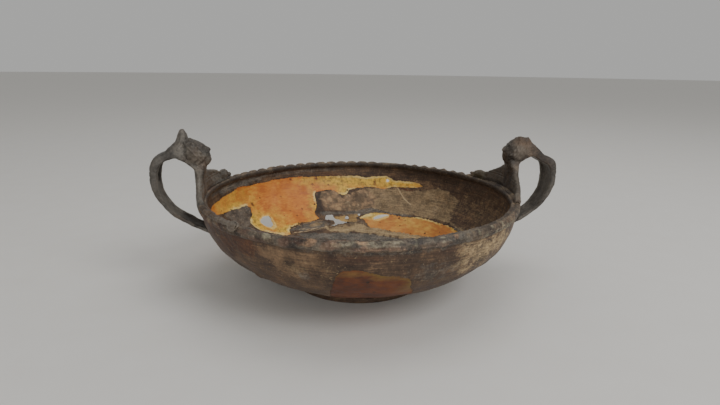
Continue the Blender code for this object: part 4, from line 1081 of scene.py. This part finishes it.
def arm_rings(heights, stands_out):
    """Rings of points along the arms. Heights are (azimuth, height above the rim)."""
    rows = np.array(heights, dtype=float)
    places = np.arange(rows[0, 0], rows[-1, 0] + 0.01, 0.55)
    tops = np.interp(places, rows[:, 0], rows[:, 1])
    tops = np.convolve(np.pad(tops, 2, mode='edge'), np.ones(5) / 5, mode='valid')
    low = RIM_TOP - 2.6
    rings = []
    for place, height in zip(places, tops):
        follow = 0.65 * (1 - smooth_share(abs(place), 7, 20))
        outer = RIM_RADIUS + 0.3 + follow * stands_out
        width = ARM_WIDTH - 1.0 + min(1.0, 0.1 * height)
        inner = outer - width
        top = RIM_TOP + height
        middle = RIM_TOP + 0.5 * height
        roll = min(1.0, 0.18 * height)
        section = [
            (inner + 0.9, low), (inner + 0.3, RIM_TOP), (inner + 1.2, middle), (inner + 1.6, top - 3.0 * roll),
            (inner + 0.9, top - 2.0 * roll), (inner + 1.1, top - 0.7 * roll), (inner + 2.2, top),
            (outer - 2.0, top), (outer - 0.8, top - 0.7 * roll), (outer - 0.5, top - 2.0 * roll),
            (outer - 1.0, top - 3.0 * roll), (outer - 0.6, middle), (outer - 0.1, RIM_TOP), (outer - 1.2, low),
        ]
        angle = math.radians(place)
        rings.append(np.array([(r * math.cos(angle), r * math.sin(angle), z) for r, z in section]))
    return rings


def unit_ball(detail):
    """Points and faces of a ball of radius 1."""
    work = bmesh.new()
    bmesh.ops.create_icosphere(work, subdivisions=detail, radius=1)
    points = np.array([v.co for v in work.verts])
    faces = [tuple(v.index for v in f.verts) for f in work.faces]
    work.free()
    return points, faces


def ball(name, middle, sizes, axes, detail=4):
    """An oval solid with half sizes along three axes."""
    unit, faces = unit_ball(detail)
    return mesh_object(name, np.asarray(middle) + unit * sizes @ np.asarray(axes), faces)


def rim_axes(azimuth, facing=1):
    """Outward, along the rim and up, at an azimuth."""
    angle = math.radians(azimuth)
    along = np.array((-math.sin(angle), math.cos(angle), 0)) * facing
    return [np.array((math.cos(angle), math.sin(angle), 0)), along, np.array((0, 0, 1.0))]


def bird_head(name, azimuth, length, height, facing):
    """A bird's head lying on the rim: an oval skull, a bead for the eye, and a beak that rests on the rim."""
    axes = rim_axes(azimuth, facing)
    out, along, up = axes
    middle = out * (RIM_RADIUS - 0.45 * ARM_WIDTH) + up * (RIM_TOP + 0.40 * height)
    shells = [ball(name, middle, (3.6, 0.46 * length, 0.56 * height), axes)]
    shells.append(ball(name, middle + along * 0.40 * length - up * 0.16 * height,
                       (2.2, 0.34 * length, 0.32 * height), axes, 3))
    for side in (-1, 1):
        shells.append(ball(name, middle + out * side * 3.0 + along * 0.08 * length + up * 0.10 * height,
                           (0.9, 1.1, 1.1), axes, 2))
    return shells


def volute(name, azimuth, size):
    """A curl that ends an arm: a disc on the lip's shoulder with a boss and two raised turns round it."""
    out, along, up = rim_axes(azimuth)
    middle = out * (RIM_RADIUS - 2.4) + up * (RIM_TOP - 1.0)
    face, rise_axis = 0.77 * out + 0.64 * up, 0.77 * up - 0.64 * out
    turns = np.radians(np.arange(0, 360, 10))[:, None]
    rings = []
    for share, stands in CURL_PROFILE:
        spoke = np.cos(turns) * along + 0.68 * np.sin(turns) * rise_axis
        rings.append(middle + share * size * spoke + stands * face)
    return [loft(name, rings)]


def leaf_rings(stands_out, hangs, kept):
    """Rings of points up the leaf, ridged from top to bottom. A broken one keeps a share of its height."""
    rings = []
    for share, inner, outer, wide in eased(LEAF, 5):
        if share > kept:
            break
        ragged = 0 if kept >= 1 else smooth_share(share, kept - 0.12, kept)
        lift = RIM_TOP + LOOP_RISE + share * CREST_HEIGHT - hangs
        centre = RIM_RADIUS + stands_out + (inner + outer) / 2 * LOOP_REACH
        deep = (outer - inner) / 2 * LOOP_REACH * (1 - 0.15 * ragged)
        half = wide * CREST_WIDTH / 2 * (1 - 0.15 * ragged)
        turns = np.radians(np.arange(0, 360, 6))
        ridge = 1 + 0.075 * np.cos(9 * turns)
        rings.append(np.stack([
            centre + deep * np.cos(turns) * ridge, half * np.sin(turns) * ridge,
            lift + 0.6 * ragged * np.cos(2 * turns + 1),
        ], axis=1))
    return rings


def rise(value, centre, width):
    """A smooth rise of height 1 round a centre."""
    return np.exp(-((value - centre) / width) ** 2)


def head_relief(side, forward, up):
    """Relief on a head as a share of its height: a calm, general face, a fringe of curls, a band and combed hair.

    Each direction is -1 to 1 on a round head. The brow, nose base and chin part the face in even thirds.
    """
    front = np.clip(forward, 0, 1)
    across = np.abs(side)
    nose = 0.088 * rise(side, 0, 0.115 + 0.09 * smooth_share(-up, 0.1, 0.45)) * smooth_share(0.12 - up, 0, 0.45)
    nose *= 1 - smooth_share(-up, 0.36, 0.52)
    brow = 0.026 * rise(up, 0.10, 0.07) * rise(across, 0.30, 0.26)
    sockets = -0.050 * rise(across, 0.33, 0.17) * rise(up, -0.04, 0.11)
    eyes = 0.036 * rise(across, 0.34, 0.12) * rise(up, -0.06, 0.055)
    lids = -0.012 * rise(across, 0.34, 0.15) * (rise(up, 0.015, 0.016) + rise(up, -0.125, 0.014))
    lips = 0.026 * rise(side, 0, 0.20) * (rise(up, -0.575, 0.035) + rise(up, -0.665, 0.04))
    parting = -0.022 * rise(side, 0, 0.22) * rise(up, -0.62, 0.016)
    below = -0.014 * rise(side, 0, 0.2) * rise(up, -0.76, 0.05)
    chin = 0.034 * rise(side, 0, 0.24) * rise(up, -0.88, 0.09)
    cheeks = 0.018 * rise(across, 0.46, 0.2) * rise(up, -0.35, 0.2)
    face = front * (nose + brow + sockets + eyes + lids + lips + parting + below + chin + cheeks)
    # The hair starts round an oval; its angle from that oval's middle counts rows, and the turn counts curls.
    oval = np.arctan2(np.hypot(side / 0.95, (up + 0.12) / 1.0), forward)
    turn = np.arctan2(side, up)
    covered = smooth_share(oval, 0.98, 1.08) * smooth_share(up, -0.62, -0.45)
    curl_one = rise(oval, 1.13, 0.12) * (0.62 + 0.38 * np.cos(turn * 17 + 3 * oval))
    curl_two = rise(oval, 1.35, 0.12) * (0.62 + 0.38 * np.cos(turn * 17 + 3 * oval + math.pi))
    fillet = 0.85 * rise(oval, 1.56, 0.07)
    combed = smooth_share(oval, 1.62, 1.72) * (0.45 + 0.26 * np.cos(turn * 19 + 2.2 * np.sin(2.6 * oval)))
    return face + 0.036 * covered * (0.5 + np.maximum(curl_one, curl_two) + fillet + combed)


def carved_head(name, stands_out, hangs, lean):
    """The head on the stem. It leans back and looks up across the bowl."""
    tilt = math.radians(lean)
    forward = np.array((-math.cos(tilt), 0, math.sin(tilt)))
    up = np.array((math.sin(tilt), 0, math.cos(tilt)))
    side = np.array((0, 1.0, 0))
    middle = np.array((RIM_RADIUS + stands_out - HEAD_BACK, 0, RIM_TOP + HEAD_RISE - hangs))
    unit, faces = unit_ball(6)
    s, f, u = unit.T
    narrow = 1 - 0.24 * np.clip(-u, 0, 1) * np.clip(f + 0.4, 0, 1)
    relief = head_relief(s, f, u) * HEAD_HEIGHT
    places = (middle + np.outer(f * HEAD_DEPTH / 2 + relief * f, forward)
              + np.outer(u * HEAD_HEIGHT / 2 + relief * u, up)
              + np.outer(s * HEAD_WIDTH / 2 * narrow + relief * s, side))
    return mesh_object(name, places, faces)


def fused(name, shells):
    """One cast skin over shells that overlap."""
    points, faces = [], []
    start = 0
    for shell in shells:
        own = points_of(shell)
        points.append(own)
        faces += [tuple(i + start for i in f.vertices) for f in shell.data.polygons]
        start += len(own)
        bpy.data.objects.remove(shell)
    made = mesh_object(name, np.concatenate(points), faces)
    skin = made.modifiers.new("skin", 'REMESH')
    skin.mode = 'VOXEL'
    skin.voxel_size = VOXEL * MM
    soften = made.modifiers.new("soften", 'SMOOTH')
    soften.factor = 0.5
    soften.iterations = 2
    with_modifiers(made)
    return made


def seat(gap):
    """The bowl's outside with a lid over its mouth: what a handle is cut to."""
    lip_line = [(141.0 - gap, 85.2), (142.2, 87.0 + gap), (145.0, 87.1 + gap), (146.6, 88.0 + gap),
                (148.4, 87.8 + gap), (149.6, 86.2 + gap), (150.2 + gap, 84.2), (149.6 + gap, 81.2)]
    profile = np.vstack([[(0, 84.2)], lip_line, wall_line(gap, 40), [(0, WALL_FOOT[1])]])
    turns = np.radians(np.arange(0, 360, 1.5))
    count = len(profile)
    points = [(r * math.cos(t), r * math.sin(t), z) for t in turns for r, z in profile]
    faces = []
    for i in range(len(turns)):
        low, high = i * count, (i + 1) % len(turns) * count
        faces += [(low + j, low + j + 1, high + j + 1, high + j) for j in range(count - 1)]
    made = mesh_object("seat", points, faces)
    with opened(made) as work:
        bmesh.ops.remove_doubles(work, verts=work.verts, dist=1e-7)
        bmesh.ops.dissolve_degenerate(work, edges=work.edges, dist=1e-8)
        bmesh.ops.recalc_face_normals(work, faces=work.faces)
    return made


def drop_crumbs(made, least):
    """Removes the loose crumbs that a cut leaves, each with fewer vertices than this."""
    with opened(made) as work:
        waiting, crumbs = set(work.verts), []
        while waiting:
            found = [waiting.pop()]
            for vertex in found:
                beside = {edge.other_vert(vertex) for edge in vertex.link_edges} & waiting
                waiting -= beside
                found += beside
            if len(found) < least:
                crumbs += found
        bmesh.ops.delete(work, geom=crumbs, context='VERTS')


def smoothed(made, rounds, share=0.5):
    """The points of a mesh after smoothing. The share may differ from vertex to vertex."""
    points = points_of(made)
    ends = np.empty(len(made.data.edges) * 2, dtype=np.int64)
    made.data.edges.foreach_get("vertices", ends)
    a, b = ends.reshape(-1, 2).T
    count = np.bincount(np.concatenate([a, b]), minlength=len(points))[:, None]

    def around(values):
        total = np.zeros_like(values)
        np.add.at(total, a, values[b])
        np.add.at(total, b, values[a])
        return total / np.maximum(count, 1)

    for _ in range(rounds):
        points = points + share * (around(points) - points)
    return points


def curvature(made, rounds):
    """How far each vertex stands out of its surroundings (above 0) or lies in a hollow (below 0)."""
    return np.sum((points_of(made) - smoothed(made, rounds)) * normals_of(made), axis=1)


def on_plate(points, stands_out, hangs):
    """How far each point lies on the plate that the stem spreads into, 0 to 1."""
    low = 1 - smooth_share(points[:, 2] - RIM_TOP + hangs, 22, 28)
    inner = 1 - smooth_share(points[:, 0] - RIM_RADIUS - stands_out, 2, 4)
    near = 1 - smooth_share(np.abs(polar(points)[0]), 15, 18)
    return low * inner * near


def on_stem(points, stands_out):
    """How far each point lies on either side of the stem, 0 to 1."""
    inner = smooth_share(RIM_RADIUS + 8 + stands_out - points[:, 0], 0, 1)
    return inner * smooth_share(np.abs(points[:, 1]), 8, 11)


def grooves(height, levels, reach):
    """Relief in millimetres of shallow grooves at these levels."""
    return -sum(GROOVE_DEPTH * rise(height, level, reach) for level in levels)


def cast_handle(name, azimuth, bend, lean, arms, birds, curls, kept, greyed):
    """A handle at its place on the rim. The bend is how far its loop was pushed out and down."""
    stands_out, hangs, slump = bend
    top_hangs = 0.4 * hangs
    shells = [loft(name, loop_rings(stands_out, hangs, slump)), loft(name, arm_rings(arms, stands_out))]
    shells.append(carved_head(name, 0.9 * stands_out, top_hangs, lean))
    shells.append(loft(name, leaf_rings(0.5 * stands_out, top_hangs, kept)))
    crown = np.array((RIM_RADIUS + CROWN_OUT + 0.7 * stands_out, 0, RIM_TOP + CROWN_RISE - top_hangs))
    shells.append(ball(name, crown, CROWN_SIZES, np.eye(3), 3))
    for bird in birds:
        shells += bird_head(name, *bird)
    for curl in curls:
        shells += volute(name, *curl)
    made = fused(name, shells)
    plate = on_plate(points_of(made), stands_out, hangs)
    set_points(made, smoothed(made, 60, 0.6 * plate[:, None]))
    at_rest, normals = points_of(made), normals_of(made)
    above_rim = at_rest[:, 2] - RIM_TOP
    on_arm = smooth_share(np.abs(polar(at_rest)[0]), 11, 17)
    worn_down = 0.14 * grain(at_rest, 6, 4) + 0.07 * grain(at_rest, 2.4, 3) + 0.2 * grain(at_rest, 24, 2)
    worn_down += on_arm * (0.24 * grain(at_rest, 3.6, 3) - 0.05)
    collar = grooves(above_rim, COLLAR_GROOVES, 0.5) * on_stem(at_rest, stands_out)
    on_outside = smooth_share(at_rest[:, 0] - (RIM_RADIUS + 31) - stands_out, 0, 1.5)
    nicks = grooves(above_rim + hangs, KNUCKLE_NICKS, 0.8) * on_outside
    set_points(made, at_rest + (worn_down + collar + nicks)[:, None] * normals)
    cut_with(made, seat(SEAT_GAP))
    drop_crumbs(made, LEAST_PIECE)
    bulk, fine = curvature(made, 14), curvature(made, 3)
    at_rest, normals = points_of(made), normals_of(made)
    round_rim, above_rim = polar(at_rest)[0], at_rest[:, 2] - RIM_TOP
    past_rim = at_rest[:, 0] - RIM_RADIUS - stands_out
    mend = 0.42 * smooth_share(RIM_RADIUS + 14 + stands_out - at_rest[:, 0], -0.3, 0.3) * (at_rest[:, 2] < RIM_TOP - 9)
    plate = on_plate(at_rest, stands_out, hangs)
    on_head = smooth_share(above_rim, 24, 30) * (1 - smooth_share(at_rest[:, 0], RIM_RADIUS + 10, RIM_RADIUS + 16))
    on_leaf = smooth_share(above_rim, 40, 48)
    calm = (1 - 0.8 * plate) * (1 - 0.5 * on_head) * (1 - 0.25 * on_leaf)
    handled = 0.6 * on_stem(at_rest, stands_out) * (at_rest[:, 2] > RIM_TOP + 3)
    handled += 0.6 * smooth_share(round_rim, 31, 36)
    dirty = 0.2 * on_leaf + 0.5 * (1 - greyed) * on_head
    dirty += 0.3 * smooth_share(-round_rim, 21, 25)
    to_middle = np.array((RIM_RADIUS + stands_out + 12, RIM_TOP + 10 - hangs)) - at_rest[:, [0, 2]]
    to_middle /= np.linalg.norm(to_middle, axis=1)[:, None]
    faces_in = np.sum(to_middle * normals[:, [0, 2]], axis=1)
    in_channel = smooth_share(faces_in, 0.6, 0.9) * smooth_share(past_rim, 4, 8)
    out_face = np.maximum(smooth_share(-faces_in, 0.0, 0.6), smooth_share(np.abs(normals[:, 1]), 0.4, 0.8))
    out_face *= smooth_share(past_rim, 12, 20)
    # The mend below the rim keeps its own dark colour. The plate inside the stem is painted darker as shade, more on
    # the right handle.
    mend_and_plate_shade = np.maximum(mend, 2.2 * (1 - greyed) * plate)
    olive = rise(round_rim, 19, 6) * 2 * (1 - greyed)
    edges = smooth_share(bulk, 0.05, 0.55) + 0.5 * smooth_share(fine, 0.02, 0.10)
    hollows = np.clip(smooth_share(-bulk, 0.1, 0.8) + 0.3 * smooth_share(-fine, 0.02, 0.10), 0, 1)
    # Wear and painted light. Edges and handled places are rubbed pale, and hollows hold dirt. The strap's inner
    # channel is painted lighter and kept clear of dirt, lifting it out of the loop's shade, and the outer faces are
    # painted darker as shade.
    write_mask(made, "wear_and_painted_light", [
        np.clip(calm * edges * (1 - 0.8 * out_face) + 0.6 * in_channel + handled, 0, 1),
        (1 - in_channel) * (calm * 0.55 * hollows + 0.52 * out_face + dirty + 0.3 * olive),
        olive,
    ])
    turn = math.radians(azimuth)
    rotation = np.array([(math.cos(turn), math.sin(turn), 0), (-math.sin(turn), math.cos(turn), 0), (0, 0, 1)])
    set_points(made, at_rest @ rotation)
    placed = points_of(made)
    on_arm = smooth_share(np.abs(round_rim), 13, 19)
    greyness = greyed - 0.4 * on_leaf - 0.7 * on_arm * (at_rest[:, 1] > 0)
    write_mask(made, "stains_and_shade", [
        mend_and_plate_shade, np.clip(0.9 - greyness + 0.4 * grain(placed, 20, 2) - in_channel, 0, 1),
        np.clip(greyness + 0.4 * grain(placed + 50, 26, 2) + in_channel, 0, 1.3)])
    return made


LEFT_ARMS = [
    (-31, 3), (-29, 7), (-27, 9), (-25, 9.4), (-23.5, 10.4), (-22, 12.4), (-20, 13.8), (-14, 17.6), (-9, 21),
    (-5, 23.5), (5, 17), (9, 8), (14, 3.4), (20, 2.0), (25, 2.6), (31, 1.8), (37, 2.0), (40, 0.8),
]
RIGHT_ARMS = [
    (-22, 2.2), (-19, 4.5), (-13, 7.5), (-8, 12.5), (-5, 18), (5, 22), (11, 14.5), (16, 8.5), (20, 6), (25, 3),
]
handle_skin = aged_bronze(
    "handled cast bronze", skin=("#322a24", "#463b32", "#5b4e42", "#766859"),
    patches=[
        ("stains_and_shade", 1, ("#58422f", "#795e45"), 0.6), ("stains_and_shade", 2, ("#45433f", "#7f7b73"), 0.8),
        ("wear_and_painted_light", 2, ("#4a4530", "#6d6746"), 0.7), ("stains_and_shade", 0, ("#2b2521", "#453b33"), 0.85),
    ],
    speck="#8e806d", turned=0, roughness=0.57, relief=0.24, wear_and_light_shades=("#73695c", "#2a241f"),
)
left = cast_handle(
    "left_cast_handle", 180 + HANDLE_SWING, bend=(0.0, 0.0, 0.0), lean=42, arms=LEFT_ARMS,
    birds=[(-26.8, 23, 11.2, -1)], curls=[(39.0, 6.5)], kept=1.0, greyed=0.9,
)
finish_piece(left, handle_skin, ["left_handle"], crease=60)
right = cast_handle(
    "right_cast_handle", -HANDLE_SWING, bend=(6.0, 5.5, 3.6), lean=36, arms=RIGHT_ARMS,
    birds=[(19.8, 23, 8.2, 1)], curls=[], kept=0.62, greyed=0.6,
)
finish_piece(right, handle_skin, ["right_handle"], crease=60)


# The studio: a plain pale paper floor under a broad soft lamp above the camera's right, a weaker one low in
# front, one overhead, and an even pale surround.
floor_mesh = bmesh.new()
bmesh.ops.create_circle(floor_mesh, cap_ends=True, segments=96, radius=14.0)
floor_data = bpy.data.meshes.new("paper_floor")
floor_mesh.to_mesh(floor_data)
floor_mesh.free()
floor = bpy.data.objects.new("paper_floor", floor_data)
bpy.context.scene.collection.objects.link(floor)
paper = bpy.data.materials.new("matt pale paper")
paper.use_nodes = True
paper_tree = paper.node_tree
fibre = add(paper_tree, "TexNoise", {"Scale": 900.0, "Detail": 2.0})["Fac"]
tone = add(paper_tree, "Mix", {0: fibre, 6: linear("#dad7d2"), 7: linear("#dedcd8")}, data_type='RGBA')[2]
paper_tree.links.new(tone, paper_tree.nodes["Principled BSDF"].inputs["Base Color"])
paper_tree.nodes["Principled BSDF"].inputs["Roughness"].default_value = 0.9
floor.data.materials.append(paper)

surround = bpy.data.worlds.new("pale surround")
surround.use_nodes = True
surround.node_tree.nodes["Background"].inputs["Color"].default_value = linear("#dcdcda")
surround.node_tree.nodes["Background"].inputs["Strength"].default_value = 0.62
bpy.context.scene.world = surround


# Square lamps that face the bowl: place and size in metres, and power.
LAMP_TARGET = Vector((0, 0, 0.05))
for lamp_name, place, size, power in (
    ("key lamp", (0.85, -1.15, 1.35), 0.9, 13),
    ("front fill lamp", (0.0, -1.55, 0.45), 0.8, 5.5),
    ("top lamp", (0.2, 0.1, 1.7), 1.0, 5),
):
    lamp_data = bpy.data.lights.new(lamp_name, 'AREA')
    lamp_data.size, lamp_data.energy = size, power
    lamp = bpy.data.objects.new(lamp_name, lamp_data)
    lamp.location = place
    lamp.rotation_euler = (LAMP_TARGET - Vector(place)).to_track_quat('-Z', 'Y').to_euler()
    bpy.context.scene.collection.objects.link(lamp)

CAMERA_PLACE = (0.00128, -0.4602, 0.2019)
CAMERA_YAW, CAMERA_PITCH, CAMERA_ROLL = (math.radians(a) for a in (-9, 15.47, 0.73))
turned = Matrix.Rotation(CAMERA_YAW, 3, 'Z')
ahead = turned @ Vector((0, math.cos(CAMERA_PITCH), -math.sin(CAMERA_PITCH)))
across_view = turned @ Vector((1, 0, 0))
above = across_view.cross(ahead)
view_x = math.cos(CAMERA_ROLL) * across_view + math.sin(CAMERA_ROLL) * above
view_y = -math.sin(CAMERA_ROLL) * across_view + math.cos(CAMERA_ROLL) * above
lens = bpy.data.cameras.new("camera")
lens.sensor_fit = 'HORIZONTAL'
lens.sensor_width = 36
lens.lens = 24.44
lens.clip_start = 0.01
camera = bpy.data.objects.new("camera", lens)
bpy.context.scene.collection.objects.link(camera)
camera.matrix_world = Matrix((view_x, view_y, -ahead)).transposed().to_4x4()
camera.location = turned @ Vector(CAMERA_PLACE)
bpy.context.scene.camera = camera
